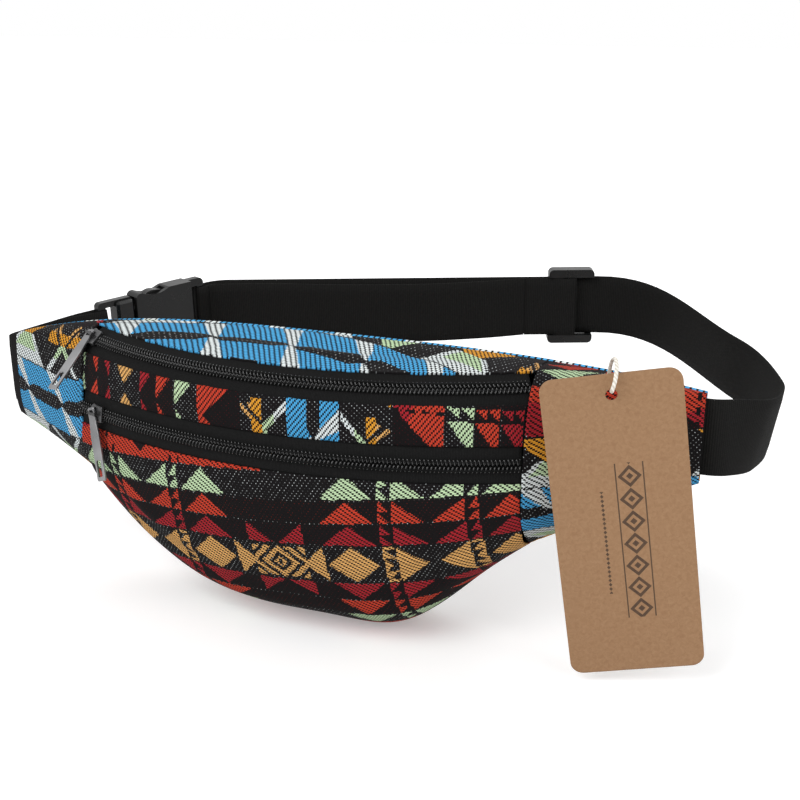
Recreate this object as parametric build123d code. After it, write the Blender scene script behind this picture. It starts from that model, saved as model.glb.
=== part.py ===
"""Waist pack: a boat-shaped woven pouch with two curved zips on a webbing belt.

Millimetres.  The origin is the middle of the back panel's outer face, at the belt's
mid-height.  X runs to the right along the pouch, Y runs back towards the wearer and
Z is up.  Webbing stands on edge, so every strap is a plan path with a height.
"""

from build123d import *
from math import asin, cos, degrees, exp, radians, sin, sqrt, tan
import os

# ---------------------------------------------------------------- pouch
PACK_LENGTH = 385.0  # wing tip to wing tip
SEAM_X = 118.0  # side seams, where the front panels meet the wings
TOP_Z = 35.0  # top edge of the back panel above the belt's mid-height
BOTTOM_DEPTH = 103.0  # belly below the belt's mid-height
SEAM_DEPTH = 53.0  # lower edge at the side seams
BELLY_POWER = 2.0  # how late the lower edge turns up towards the seams
BELLY_SHIFT = -10.0  # deepest point of that curve
SAG = 15.0  # the load's own bulge in it
SAG_X = 61.0
SAG_SPREAD = 35.0
BACK_BOTTOM = 86.0  # bottom seam of the back panel, at the middle
BACK_SEAM_DEPTH = 50.0  # and at the side seams
WALL = 1.8  # woven panel with its backing
BACK_WALL = 2.6  # padded back panel
SEAM_GAP = 0.3  # between neighbouring soft panels
ZIP_MITRE = 1.8  # panel edges cut back under the tilted main zip
DIVIDER_WALL = 0.8
DIVIDER_INSET = 12.0  # behind the pocket panel
DIVIDER_TOP = 12.0  # above the pocket zip
DIVIDER_SEAT = 1.5  # behind the zip's line, just clear of the front band
WING_TIP_DEPTH = 5.4
LEFT_TIP = (15.7, -31.0)  # top and bottom of the wing's end, which droops
RIGHT_TIP = (25.2, -18.5)
WEB_TUCK = 14.0  # webbing sewn inside the wing tip

# ---------------------------------------------------------------- zips
ZIP_BAND = 17.0  # visible width over both tapes
TAPE = 0.5
TAPE_SLIT = 1.0  # between the two tapes at the coils
COIL_WIDTH = 2.5  # each strand
COIL_HEIGHT = 1.9
COIL_GROOVE = 1.0  # between the two strands
MAIN_RADIUS = 242.0
MAIN_FRONT = 66.0  # how far the main zip stands in front of the back panel
MAIN_Z = 29.5
MAIN_TILT = 50.0  # outward normal above the horizontal
POCKET_RADIUS = 282.0
POCKET_FRONT = 74.0
POCKET_Z = -3.7
POCKET_TILT = 10.0
ZIP_END_GAP = 0.6  # from the end of a zip to the side seam

# ---------------------------------------------------------------- slider and pull
SLIDER_LENGTH = 9.0
SLIDER_FLARE = 1.4  # nose wider than the tail
PLATE = 0.9
PLATE_GAP = 0.3  # slider to coil and tape
FLANGE = 0.8
POST_WIDTH = 0.6
POST_LENGTH = 2.2
ARCH_FOOT = 1.4
ARCH_CLEAR = 1.9
ARCH_THICK = 1.1
ARCH_SPAN = 6.0
PULL_LENGTH = 38.0
PULL_WIDTH = 6.8
PULL_NECK = 5.2  # width round the eye
PULL_TAPER = 14.0  # length over which it widens
PULL_THICK = 1.0
PULL_EYE = 2.6
PULL_EYE_BAR = 1.3
PULL_SLOT_LENGTH = 8.5
PULL_SLOT_WIDTH = 3.6
PULL_FOOT_BAR = 2.2  # metal below the slot
PULL_BEVEL = 0.25
MAIN_SLIDER_START = 5.4  # slider's middle from the seam end of the zip
POCKET_SLIDER_START = 17.0
MAIN_PULL_TURN = 12.0  # resting swing of the pull towards the closed zip
POCKET_PULL_TURN = 21.0

# ---------------------------------------------------------------- webbing
WEB_WIDTH = 38.0
WEB = 1.3
WEB_GAP = 0.3

# ---------------------------------------------------------------- side-release buckle
BUCKLE_LENGTH = 76.0
BUCKLE_WIDTH = 50.0
BUCKLE_THICK = 12.0
BUCKLE_BAR_THICK = 4.6
MALE_BASE = 24.0
BUCKLE_BAR = 4.5
BUCKLE_SLOT = 7.0
SOCKET_WALL = 2.2
SOCKET_END = 56.0
FIT = 0.35
PRONG_THICK = 6.4
WINDOW_START = 30.0
WINDOW_END = 47.0
TONGUE_WIDTH = 8.0
BUCKLE_PLACE = (-166.0, 40.0)
BUCKLE_ANGLE = 65.0
TAIL_LENGTH = 24.0  # sewn tail of the left webbing

# ---------------------------------------------------------------- tri-glide
GLIDE_LENGTH = 29.0
GLIDE_WIDTH = 49.0
GLIDE_BAR = 4.0
GLIDE_BAR_THICK = 2.2

# ---------------------------------------------------------------- belt route
STRAP_ANGLE = 19.7  # of the straight back run, in plan
STRAP_LEAD = 14.0  # from the buckle's end to the bend before that run
GLIDE_PLACE = 229.0  # tri-glide's middle along the run
RUN_BEYOND_GLIDE = 17.0  # before the strap bends round the wearer's right
HEM_LENGTH = 30.0
BELT_TILT = 2.0  # the buckle and the back run rise away from the pouch
LEFT_TUCK_Z = -5.5  # middle of the webbing sewn into each wing
RIGHT_TUCK_Z = 4.0
SLACK = [(0.17, -9.0), (0.42, -15.0), (0.70, -15.0), (0.89, -9.0)]  # share of the way, droop

# ---------------------------------------------------------------- hang tag
TAG_WIDTH = 61.5
TAG_HEIGHT = 146.0
TAG_THICK = 0.9
TAG_CORNER = 6.0
TAG_HOLE = 5.2
TAG_HOLE_DROP = 9.5
TAG_PLACE = (156.5, -52.0, 36.3)  # the hole
TAG_TURN = 14.0  # about the vertical, clear of the wing
TAG_LEAN = -8.5  # in its own plane
STRING = 1.8

# Middle of the free webbing on its way from each wing to the tilted group.
RIGHT_STATIONS = [
    (204.5, 3.0, 2.5),
    (218.0, 25.0, -2.0),
    (221.0, 62.0, -4.0),
    (198.0, 118.0, 0.0),
]
LEFT_STATIONS = [
    (-197.6, -0.6, -5.3),
    (-195.2, 6.5, -4.6),
    (-186.5, 18.5, -2.4),
]
WEB_OUT = 2.0  # straight beyond the wing's end
RIBBON_SECTIONS = 41  # that shape the free webbing

TIP_X = PACK_LENGTH / 2
WEB_HALF = WEB_WIDTH / 2


# ================================================================ pouch outline
def tip_of(x):
    return LEFT_TIP if x < 0 else RIGHT_TIP


def top_z(x):
    """Top edge of the back panel at x, falling to the end of the wing."""
    tip_top = tip_of(x)[0]
    return tip_top + (TOP_Z - tip_top) * (1 - (abs(x) / TIP_X) ** 3)


def lower_edge(x, depth, seam_depth):
    """A full belly between the side seams, then a straight run to the wing tip."""
    share = min(abs(x) / SEAM_X, 1.0)
    u = min(abs(x - BELLY_SHIFT * (1 - share**2)) / SEAM_X, 1.0)
    belly = (depth - seam_depth) * (1 - u**BELLY_POWER)
    sag = SAG * exp(-(((x - SAG_X) / SAG_SPREAD) ** 2)) * (1 - share**4)
    wing = max(abs(x) - SEAM_X, 0.0) / (TIP_X - SEAM_X)
    return -(seam_depth + belly + sag) + (seam_depth + tip_of(x)[1]) * wing


def bottom_z(x):
    return lower_edge(x, BOTTOM_DEPTH, SEAM_DEPTH)


def back_bottom_z(x):
    return lower_edge(x, BACK_BOTTOM, BACK_SEAM_DEPTH)


class Zip:
    """A zip laid on a level circular arc, its face tilted up by `tilt` degrees."""

    def __init__(self, radius, front, z, tilt):
        self.radius = radius
        self.centre_y = radius - front
        self.z = z
        self.tilt = radians(tilt)
        self.half_angle = degrees(asin(SEAM_X / radius))

    def edge(self, across, out=0.0):
        """Radius and height of the line `across` the face and `out` from it."""
        r = self.radius - across * sin(self.tilt) + out * cos(self.tilt)
        return r, self.z + across * cos(self.tilt) + out * sin(self.tilt)

    def point(self, x, across, out=0.0):
        """The same line where it crosses the upright plane at x, as (y, z)."""
        r, z = self.edge(across, out)
        return self.centre_y - sqrt(r * r - x * x), z

    def plane(self, angle, across=0.0, out=0.0):
        """Local frame at an angle along the arc: x along, y up the face, z out."""
        t = radians(angle)
        r, z = self.edge(across, out)
        radial = Vector(sin(t), -cos(t), 0)
        normal = radial * cos(self.tilt) + Vector(0, 0, sin(self.tilt))
        origin = Vector(r * sin(t), self.centre_y - r * cos(t), z)
        return Plane(origin=origin, x_dir=Vector(cos(t), sin(t), 0), z_dir=normal)

    def band(self, low, high, inner, outer):
        """A strip along the arc, cut off upright just short of both side seams."""
        spare = 4.0
        at = self.plane(-self.half_angle - spare)
        section = Plane(origin=at.origin, x_dir=at.y_dir, z_dir=-at.x_dir)
        face = section * Pos((low + high) / 2, -(inner + outer) / 2) * Rectangle(
            high - low, outer - inner
        )
        axis = Axis((0, self.centre_y, 0), (0, 0, 1))
        ring = revolve(face, axis=axis, revolution_arc=2 * (self.half_angle + spare))
        between_seams = 2 * (SEAM_X - ZIP_END_GAP)
        return ring & Pos(0, self.centre_y, self.z) * Box(
            between_seams, 3 * self.radius, self.radius
        )


main_zip = Zip(MAIN_RADIUS, MAIN_FRONT, MAIN_Z, MAIN_TILT)
pocket_zip = Zip(POCKET_RADIUS, POCKET_FRONT, POCKET_Z, POCKET_TILT)


# ================================================================ soft panels
def offset_points(points, wall, mitres):
    """Points moved inwards by `wall`, the end ones drawn in to a mitred edge."""
    moved = []
    for i, (y, z) in enumerate(points):
        y0, z0 = points[max(i - 1, 0)]
        y1, z1 = points[min(i + 1, len(points) - 1)]
        length = sqrt((y1 - y0) ** 2 + (z1 - z0) ** 2)
        trim = (mitres[0] if i == 0 else 0) - (mitres[1] if i == len(points) - 1 else 0)
        along = (y1 - y0) / length, (z1 - z0) / length
        moved.append((y - along[1] * wall + along[0] * trim, z + along[0] * wall + along[1] * trim))
    return moved


def strip_section(x, points, wall, mitres):
    """A thin curved strip in the upright plane at x."""
    outer = [Vector(x, y, z) for y, z in points]
    inner = [Vector(x, y, z) for y, z in reversed(offset_points(points, wall, mitres))]
    edges = [
        Spline(*outer),
        Line(outer[-1], inner[0]),
        Spline(*inner),
        Line(inner[-1], outer[0]),
    ]
    return make_face(Wire(edges))


def strip(stations, line, wall, mitres=(0.0, 0.0)):
    """A panel lofted through the strip sections that `line(x)` gives."""
    return loft([strip_section(x, line(x), wall, mitres) for x in stations])


def spread(low, high, count):
    return [low + (high - low) * i / (count - 1) for i in range(count)]


FRONT_STATIONS = spread(-SEAM_X + SEAM_GAP, SEAM_X - SEAM_GAP, 9)
HALF_BAND = ZIP_BAND / 2


def top_line(x):
    """From the main zip's rear tape edge back to the back panel's top edge."""
    y, z = main_zip.point(x, HALF_BAND + SEAM_GAP, TAPE / 2)
    back = -BACK_WALL - SEAM_GAP
    return [(back, top_z(x)), (back + (y - back) * 0.5, (z + top_z(x)) / 2 + 1.2), (y, z)]


def band_line(x):
    """From the main zip's lower tape edge down to the pocket zip."""
    y0, z0 = main_zip.point(x, -HALF_BAND - SEAM_GAP, TAPE / 2)
    y1, z1 = pocket_zip.point(x, HALF_BAND + SEAM_GAP, TAPE / 2)
    return [(y0, z0), ((y0 + y1) / 2 - 1.0, (z0 + z1) / 2), (y1, z1)]


def pocket_line(x):
    """From the pocket zip over the belly and under to the back panel's bottom."""
    y, z = pocket_zip.point(x, -HALF_BAND - SEAM_GAP, TAPE / 2)
    low = bottom_z(x)
    drop = z - low
    back = -BACK_WALL - SEAM_GAP
    return [
        (y, z),
        (y - 1.5, z - drop * 0.22),
        (y + 3.0, z - drop * 0.55),
        (y * 0.80, z - drop * 0.84),
        (y * 0.52, low),
        (y * 0.25, (low + back_bottom_z(x)) / 2 - 1.0),
        (back, back_bottom_z(x)),
    ]


def divider_line(x):
    """The lining behind the pocket, from above its zip down to the belly."""
    y, z = pocket_zip.point(x, DIVIDER_TOP)
    low = bottom_z(x)
    return [
        (y + DIVIDER_SEAT, z),
        (y + DIVIDER_INSET, (z + low) / 2 + 10.0),
        (y * 0.56 + DIVIDER_INSET * 0.6, low + WALL + DIVIDER_WALL),
    ]


def seam_outline(x):
    """The wing's closed front line where it meets the front panels."""
    top = top_line(x)
    pocket = pocket_line(x)
    return [top[0], top[2], band_line(x)[0], pocket[0], pocket[2], pocket[4], pocket[6]]


def wing_line(x):
    """The seam's outline drawn flat and narrow towards the tip."""
    t = (abs(x) - SEAM_X) / (TIP_X - SEAM_X)
    seam = seam_outline(SEAM_X if x > 0 else -SEAM_X)
    depth = 1 - t * (1 - WING_TIP_DEPTH / -seam[3][0])
    back = -BACK_WALL - SEAM_GAP
    high, low = seam[0][1], seam[-1][1]
    top, bottom = top_z(x), back_bottom_z(x)
    line = []
    for y, z in seam:
        rise = (z - low) / (high - low)
        inside = min(max(rise, 0.0), 1.0)
        rise = inside + (rise - inside) * depth
        line.append((back + (y - back) * depth, bottom + (top - bottom) * rise))
    return line


def wing(side):
    ends = spread(SEAM_X, TIP_X, 5)
    return strip([side * x for x in ends], wing_line, WALL)


def back_panel():
    """The flat panel against the wearer, cut to the pouch's outline."""
    xs = spread(-TIP_X, TIP_X, 13)
    top = Spline(*[Vector(x, 0, top_z(x)) for x in xs])
    low = Spline(*[Vector(x, 0, back_bottom_z(x)) for x in reversed(xs)])
    face = make_face(Wire([top, Line(top @ 1, low @ 0), low, Line(low @ 1, top @ 0)]))
    return extrude(face, amount=BACK_WALL, dir=(0, -1, 0))


def zip_parts(name, track):
    """Tapes and coil strands of one zip."""
    slit = TAPE_SLIT / 2
    groove = COIL_GROOVE / 2
    top = TAPE / 2
    parts = {
        name + "_tape_upper": track.band(slit, HALF_BAND, -top, top),
        name + "_tape_lower": track.band(-HALF_BAND, -slit, -top, top),
        name + "_coil_upper": track.band(groove, groove + COIL_WIDTH, top, top + COIL_HEIGHT),
        name + "_coil_lower": track.band(-groove - COIL_WIDTH, -groove, top, top + COIL_HEIGHT),
    }
    return parts


# ================================================================ slider and pull
def slider():
    """Slider in its own frame: x towards the closed end, z out of the tape."""
    coil_top = TAPE / 2 + COIL_HEIGHT
    top_low = coil_top + PLATE_GAP
    low_high = -TAPE / 2 - PLATE_GAP
    half = SLIDER_LENGTH / 2
    tail = COIL_GROOVE / 2 + COIL_WIDTH + PLATE_GAP + FLANGE
    nose = tail + SLIDER_FLARE / 2
    outline = Polyline(
        (-half, -nose * 0.62),
        (-half * 0.55, -nose),
        (half * 0.2, -tail),
        (half, -tail),
        (half, tail),
        (half * 0.2, tail),
        (-half * 0.55, nose),
        (-half, nose * 0.62),
        close=True,
    )
    plate = make_face(outline)
    plate = fillet(plate.vertices(), 0.6)
    upper = Pos(0, 0, top_low) * extrude(plate, amount=PLATE)
    upper = chamfer(upper.faces().sort_by(Axis.Z)[-1].edges(), 0.25)
    lower = Pos(0, 0, low_high - PLATE) * extrude(plate, amount=PLATE)
    post = Pos(-half + POST_LENGTH / 2 + 0.3, 0, (top_low + low_high) / 2) * Box(
        POST_LENGTH, POST_WIDTH, top_low - low_high + 0.2
    )
    body = upper + lower + post
    lip = coil_top * 0.45
    for side in (-1, 1):
        rail = Pos(half * 0.6, side * (tail - FLANGE / 2), top_low - lip / 2) * Box(
            half * 0.8, FLANGE, lip
        )
        body += rail
    deck = top_low + PLATE
    span = ARCH_SPAN / 2
    for end in (-1, 1):
        foot = Pos(end * (span - ARCH_FOOT / 2), 0, deck + (ARCH_CLEAR + ARCH_THICK) / 2 - 0.1)
        body += foot * Box(ARCH_FOOT, ARCH_FOOT, ARCH_CLEAR + ARCH_THICK + 0.2)
    bar = Pos(0, 0, deck + ARCH_CLEAR + ARCH_THICK / 2) * Box(ARCH_SPAN, ARCH_FOOT, ARCH_THICK)
    return body + bar


DECK = TAPE / 2 + COIL_HEIGHT + PLATE_GAP + PLATE
PULL_LEVEL = DECK + ARCH_CLEAR / 2
FOOT_X = -(ARCH_SPAN - ARCH_FOOT) / 2


def pull(turn):
    """Pull hanging down -y from the arch's front foot, which its eye goes round."""
    eye = PULL_EYE / 2
    top = eye + PULL_EYE_BAR
    foot = top - PULL_LENGTH
    outline = Polyline(
        (-PULL_NECK / 2, top),
        (PULL_NECK / 2, top),
        (PULL_NECK / 2, top - PULL_TAPER / 2),
        (PULL_WIDTH / 2, top - PULL_TAPER),
        (PULL_WIDTH / 2, foot),
        (-PULL_WIDTH / 2, foot),
        (-PULL_WIDTH / 2, top - PULL_TAPER),
        (-PULL_NECK / 2, top - PULL_TAPER / 2),
        close=True,
    )
    plate = make_face(outline)
    plate = fillet(plate.vertices(), 1.0)
    plate -= Rectangle(PULL_EYE, PULL_EYE)
    slot_y = foot + PULL_FOOT_BAR + PULL_SLOT_LENGTH / 2
    plate -= Pos(0, slot_y) * RectangleRounded(PULL_SLOT_WIDTH, PULL_SLOT_LENGTH, 0.8)
    body = extrude(plate, amount=PULL_THICK / 2, both=True)
    body = chamfer(body.faces().sort_by(Axis.Z)[-1].outer_wire().edges(), PULL_BEVEL)
    return Pos(FOOT_X, 0, PULL_LEVEL) * Rot(0, 0, turn) * body


def zip_angle(track, start):
    """Angle along the arc at which the slider rests, `start` from the left seam."""
    return -track.half_angle + degrees(start / track.radius)


# ================================================================ webbing
def plan_strip(points, radii, low, high, thickness=WEB):
    """Webbing on edge along a plan path of straight runs and tangent arcs."""
    path = FilletPolyline(*points, radius=radii)
    band = trace(path, line_width=thickness)
    return Pos(0, 0, low) * extrude(band, amount=high - low)


def turn_radii(points):
    """0.45 of the shorter run over the tangent of half the turn, at each corner."""
    radii = []
    for a, b, c in zip(points, points[1:], points[2:]):
        first = Vector(*b) - Vector(*a)
        second = Vector(*c) - Vector(*b)
        half_turn = radians(first.get_angle(second) / 2)
        radii.append(0.45 * min(first.length, second.length) / tan(half_turn))
    return radii


def in_plan(origin, angle):
    """A function that takes local plan coordinates to the pack's own."""
    c, s = cos(radians(angle)), sin(radians(angle))
    return lambda x, y: (origin[0] + x * c - y * s, origin[1] + x * s + y * c)


buckle_at = in_plan(BUCKLE_PLACE, BUCKLE_ANGLE)
WEB_PITCH = BUCKLE_BAR_THICK / 2 + WEB_GAP + WEB / 2  # web's middle from the bar's middle
MALE_TURN = BUCKLE_BAR + WEB_GAP + WEB / 2
FEMALE_TURN = BUCKLE_LENGTH - MALE_TURN
run_at = in_plan(buckle_at(BUCKLE_LENGTH + STRAP_LEAD, WEB_PITCH), STRAP_ANGLE)
HEM_NEAR = -(WEB + WEB_GAP)  # hem's layer between the strap and the glide's bar
HEM_FAR = HEM_NEAR - GLIDE_BAR_THICK - 2 * WEB_GAP - WEB
TUCK_Y = -BACK_WALL - SEAM_GAP - WEB / 2 - WEB_GAP


def corner_radii(points, tight):
    """Turn radii, with the tight turns round bars set by hand."""
    radii = turn_radii(points)
    for index, radius in tight.items():
        radii[index] = radius
    return radii


TILT = Rot(BELT_TILT, 0, 0)


UPRIGHT = (TILT * Pos(0, 0, 1)).position  # the webbing's own upright


def ribbon(stations, start, end):
    """Free webbing: short flat facets through sections set along a smooth path."""
    headings = [(c - a).normalized() for a, c in zip(stations, stations[2:])]
    path = Spline(*stations, tangents=[start, *headings, end])
    sections = []
    for share in spread(0.0, 1.0, RIBBON_SECTIONS):
        along = UPRIGHT.cross(path % share).cross(UPRIGHT)
        place = Plane(origin=path @ share, x_dir=UPRIGHT, z_dir=along)
        sections.append(place * Rectangle(WEB_WIDTH, WEB))
    return loft(sections, ruled=True)


def free_webbing(side, tuck_z, stations, far, direction):
    """Tuck inside a wing, then the ribbon to the tilted group's webbing at `far`."""
    length = WEB_TUCK + WEB_OUT
    tuck = Pos(side * (TIP_X + WEB_OUT - length / 2), TUCK_Y, tuck_z)
    points = [Vector(side * (TIP_X + WEB_OUT), TUCK_Y, tuck_z)]
    points += [Vector(*station) for station in stations]
    points.append((TILT * Pos(*far, 0)).position)
    heading = radians(direction)
    end = (TILT * Pos(cos(heading), sin(heading), 0)).position
    return tuck * Box(length, WEB, WEB_WIDTH) + ribbon(points, Vector(side, 0, 0), end)


def left_web():
    """From the left wing tip back to the male buckle's bar and a sewn tail."""
    start = buckle_at(-9.0, WEB_PITCH)
    points = [
        start,
        buckle_at(MALE_TURN, WEB_PITCH),
        buckle_at(MALE_TURN, -WEB_PITCH),
        buckle_at(-4.0, -WEB_PITCH),
        buckle_at(-TAIL_LENGTH, WEB_PITCH - WEB - WEB_GAP),
    ]
    loop = plan_strip(points, corner_radii(points, {0: WEB, 1: WEB}), -WEB_HALF, WEB_HALF)
    return free_webbing(-1, LEFT_TUCK_Z, LEFT_STATIONS, start, BUCKLE_ANGLE) + TILT * loop


def belt_main():
    """From the right wing tip round the back, through the glide, to the female bar."""
    start = run_at(GLIDE_PLACE + RUN_BEYOND_GLIDE, 0)
    points = [
        start,
        run_at(0, 0),
        buckle_at(FEMALE_TURN, WEB_PITCH),
        buckle_at(FEMALE_TURN, 0),
    ]
    run = plan_strip(points, corner_radii(points, {1: WEB}), -WEB_HALF, WEB_HALF)
    heading = STRAP_ANGLE + 180
    return free_webbing(1, RIGHT_TUCK_Z, RIGHT_STATIONS, start, heading) + TILT * run


def belt_return():
    """The doubled layer from the female bar back to the glide, with its slack."""
    points = [
        buckle_at(FEMALE_TURN, 0),
        buckle_at(FEMALE_TURN, -WEB_PITCH),
        buckle_at(BUCKLE_LENGTH + 6.0, -WEB_PITCH),
    ]
    end = GLIDE_PLACE - HEM_LENGTH
    points += [run_at(share * end, droop) for share, droop in SLACK]
    points.append(run_at(end, HEM_NEAR - WEB - WEB_GAP))
    return plan_strip(points, corner_radii(points, {0: WEB}), -WEB_HALF, WEB_HALF)


def belt_hem():
    """The doubled layer's end, sewn in a loop round the glide's middle bar."""
    turn = GLIDE_BAR / 2 + WEB_GAP + WEB / 2
    points = [
        (GLIDE_PLACE - HEM_LENGTH + WEB_GAP, HEM_NEAR - WEB - WEB_GAP),
        (GLIDE_PLACE - 13.0, HEM_NEAR - WEB - WEB_GAP),
        (GLIDE_PLACE - 4.5, HEM_FAR),
        (GLIDE_PLACE + turn, HEM_FAR),
        (GLIDE_PLACE + turn, HEM_NEAR),
        (GLIDE_PLACE - HEM_LENGTH + 5.0, HEM_NEAR),
    ]
    points = [run_at(x, y) for x, y in points]
    return plan_strip(points, corner_radii(points, {2: WEB, 3: WEB}), -WEB_HALF, WEB_HALF)


# ================================================================ buckle
def upright(face, thickness):
    """A flat outline drawn in x and z, given its thickness along y."""
    return extrude(Plane.XZ * face, amount=thickness / 2, both=True)


def buckle_male():
    """Strap end with its bar and slot, shoulders and the middle guide tongue."""
    base = Pos(MALE_BASE / 2, 0) * RectangleRounded(MALE_BASE, BUCKLE_WIDTH - 3.0, 2.5)
    slot = Pos(BUCKLE_BAR + BUCKLE_SLOT / 2, 0) * RectangleRounded(
        BUCKLE_SLOT, WEB_WIDTH + 2.0, 1.2
    )
    frame = upright(base - slot, BUCKLE_BAR_THICK)
    shoulder = Pos(BUCKLE_BAR + BUCKLE_SLOT + 6.0, 0) * RectangleRounded(
        12.0, BUCKLE_WIDTH - 5.0, 2.0
    )
    block = upright(shoulder, BUCKLE_THICK - 1.5)
    block = chamfer(block.edges().filter_by(Axis.Z), 1.6)
    tongue_end = SOCKET_END - 3.0
    tongue = Pos((MALE_BASE + tongue_end) / 2 - 1.0, 0) * RectangleRounded(
        tongue_end - MALE_BASE + 2.0, TONGUE_WIDTH, 1.5
    )
    groove = Pos((MALE_BASE + tongue_end) / 2 + 4.0, 0) * SlotOverall(tongue_end - MALE_BASE - 12.0, 2.4)
    return frame + block + upright(tongue - groove, PRONG_THICK)


def buckle_prong(side):
    """A spring arm with its press pad in the window and its catch behind it."""
    root = BUCKLE_WIDTH / 2 - 14.0
    pad = BUCKLE_WIDTH / 2 - 0.8
    socket = BUCKLE_WIDTH / 2 - SOCKET_WALL - FIT
    start = MALE_BASE + FIT
    outer = [
        (start, root + 3.2),
        (WINDOW_START - 1.0, socket - 2.6),
        (WINDOW_START + FIT + 1.5, pad - 1.8),
        ((WINDOW_START + WINDOW_END) / 2 + 2.0, pad),
        (WINDOW_END - FIT - 0.3, pad - 1.2),
    ]
    inner = [
        (WINDOW_END - FIT - 0.3, socket - 3.4),
        (SOCKET_END - 4.5, root + 2.2),
        (SOCKET_END - 5.0, root + 0.4),
        (WINDOW_END - 4.0, root + 3.0),
        (WINDOW_START + 3.0, root + 2.6),
        (start, root - 0.4),
    ]
    edges = [Spline(*outer[:4])]
    edges += [Line(a, b) for a, b in zip(outer[3:], outer[4:] + inner[:1])]
    edges += [Line(a, b) for a, b in zip(inner, inner[1:])]
    edges.append(Line(inner[-1], outer[0]))
    face = make_face(Wire(edges))
    body = upright(face, PRONG_THICK - 2 * FIT)
    return body if side > 0 else mirror(body, about=Plane.XY)


def buckle_female():
    """Socket shell with scooped sides and windows, and a webbing bar."""
    length = BUCKLE_LENGTH - MALE_BASE
    half = BUCKLE_WIDTH / 2
    body = Pos(MALE_BASE + FIT + (length - FIT) / 2, 0) * RectangleRounded(
        length - FIT, BUCKLE_WIDTH, 3.5
    )
    scoop = (WINDOW_START + WINDOW_END) / 2
    for side in (-1, 1):
        body -= Pos(scoop, side * (half + 17.5)) * Circle(20.0)
    bar_start = BUCKLE_LENGTH - BUCKLE_BAR - BUCKLE_SLOT
    body -= Pos(bar_start + BUCKLE_SLOT / 2, 0) * RectangleRounded(
        BUCKLE_SLOT, WEB_WIDTH + 2.0, 1.2
    )
    shell = upright(body, BUCKLE_THICK)
    shell = chamfer(shell.faces().sort_by(Axis.Y)[-1].edges().filter_by(Axis.Z), 0.8)
    thin = BUCKLE_THICK / 2 - BUCKLE_BAR_THICK / 2
    for side in (-1, 1):
        shell -= Pos(BUCKLE_LENGTH, side * (BUCKLE_THICK / 2), 0) * Box(
            2 * (BUCKLE_BAR + BUCKLE_SLOT), 2 * thin, BUCKLE_WIDTH + 2
        )
    depth = SOCKET_END - MALE_BASE
    socket = Pos(MALE_BASE + depth / 2, 0, 0) * Box(
        depth, PRONG_THICK, BUCKLE_WIDTH - 2 * SOCKET_WALL
    )
    window = Pos((WINDOW_START + WINDOW_END) / 2, 0, 0) * Box(
        WINDOW_END - WINDOW_START, PRONG_THICK, BUCKLE_WIDTH + 2
    )
    return shell - socket - window


def tri_glide():
    """Side bars outside the strap, the middle bar inside it, joined by rails."""
    strap_face = WEB / 2 + WEB_GAP
    inner = HEM_NEAR - WEB / 2 - WEB_GAP - GLIDE_BAR_THICK
    outer = strap_face + GLIDE_BAR_THICK
    rail_low = WEB_HALF + WEB_GAP
    rail = GLIDE_WIDTH / 2 - rail_low
    parts = []
    for side in (-1, 1):
        end = Pos(0, (inner + outer) / 2, side * (rail_low + rail / 2))
        block = end * Box(GLIDE_LENGTH, outer - inner, rail)
        edges = block.edges().filter_by(Axis.Y).group_by(Axis.Z)[-1 if side > 0 else 0]
        parts.append(fillet(edges, rail * 0.6))
        offset = side * (GLIDE_LENGTH - GLIDE_BAR) / 2
        parts.append(
            Pos(offset, (strap_face + outer) / 2, 0)
            * Box(GLIDE_BAR, GLIDE_BAR_THICK, 2 * rail_low + 0.2)
        )
    middle = Pos(0, inner + GLIDE_BAR_THICK / 2, 0)
    parts.append(middle * Box(GLIDE_BAR, GLIDE_BAR_THICK, 2 * rail_low + 0.2))
    body = parts[0]
    for piece in parts[1:]:
        body += piece
    return body


# ================================================================ hang tag
def tag_location():
    x, y, z = TAG_PLACE
    return Pos(x, y, z) * Rot(0, 0, TAG_TURN) * Rot(0, TAG_LEAN, 0)


def hang_tag():
    """A card with rounded corners, its hole at the local origin."""
    card = Pos(0, TAG_HOLE_DROP - TAG_HEIGHT / 2) * RectangleRounded(
        TAG_WIDTH, TAG_HEIGHT, TAG_CORNER
    )
    card -= Circle(TAG_HOLE / 2)
    return tag_location() * upright(card, TAG_THICK)


STRING_ROUTE = [
    (149.0, -16.5, 33.8),
    (150.8, -24.5, 41.8),
    (154.5, -38.5, 48.8),
    (158.0, -52.0, 51.2),
    (158.8, -56.8, 45.3),
    (157.2, -55.8, 38.6),
    (155.8, -48.0, 37.0),
    (153.0, -35.5, 39.0),
    (148.4, -22.5, 31.4),
]


def tag_string():
    """The loop from the wing's top seam, over the card and back through its hole."""
    points = [Vector(*p) for p in STRING_ROUTE]
    radii = turn_radii(STRING_ROUTE)
    path = FilletPolyline(*points, radius=radii)
    print("string radii", [round(r, 1) for r in radii], "length", round(path.length, 1))
    start = Plane(origin=path @ 0, z_dir=path % 0)
    return sweep(start * Circle(STRING / 2), path=path)


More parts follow.
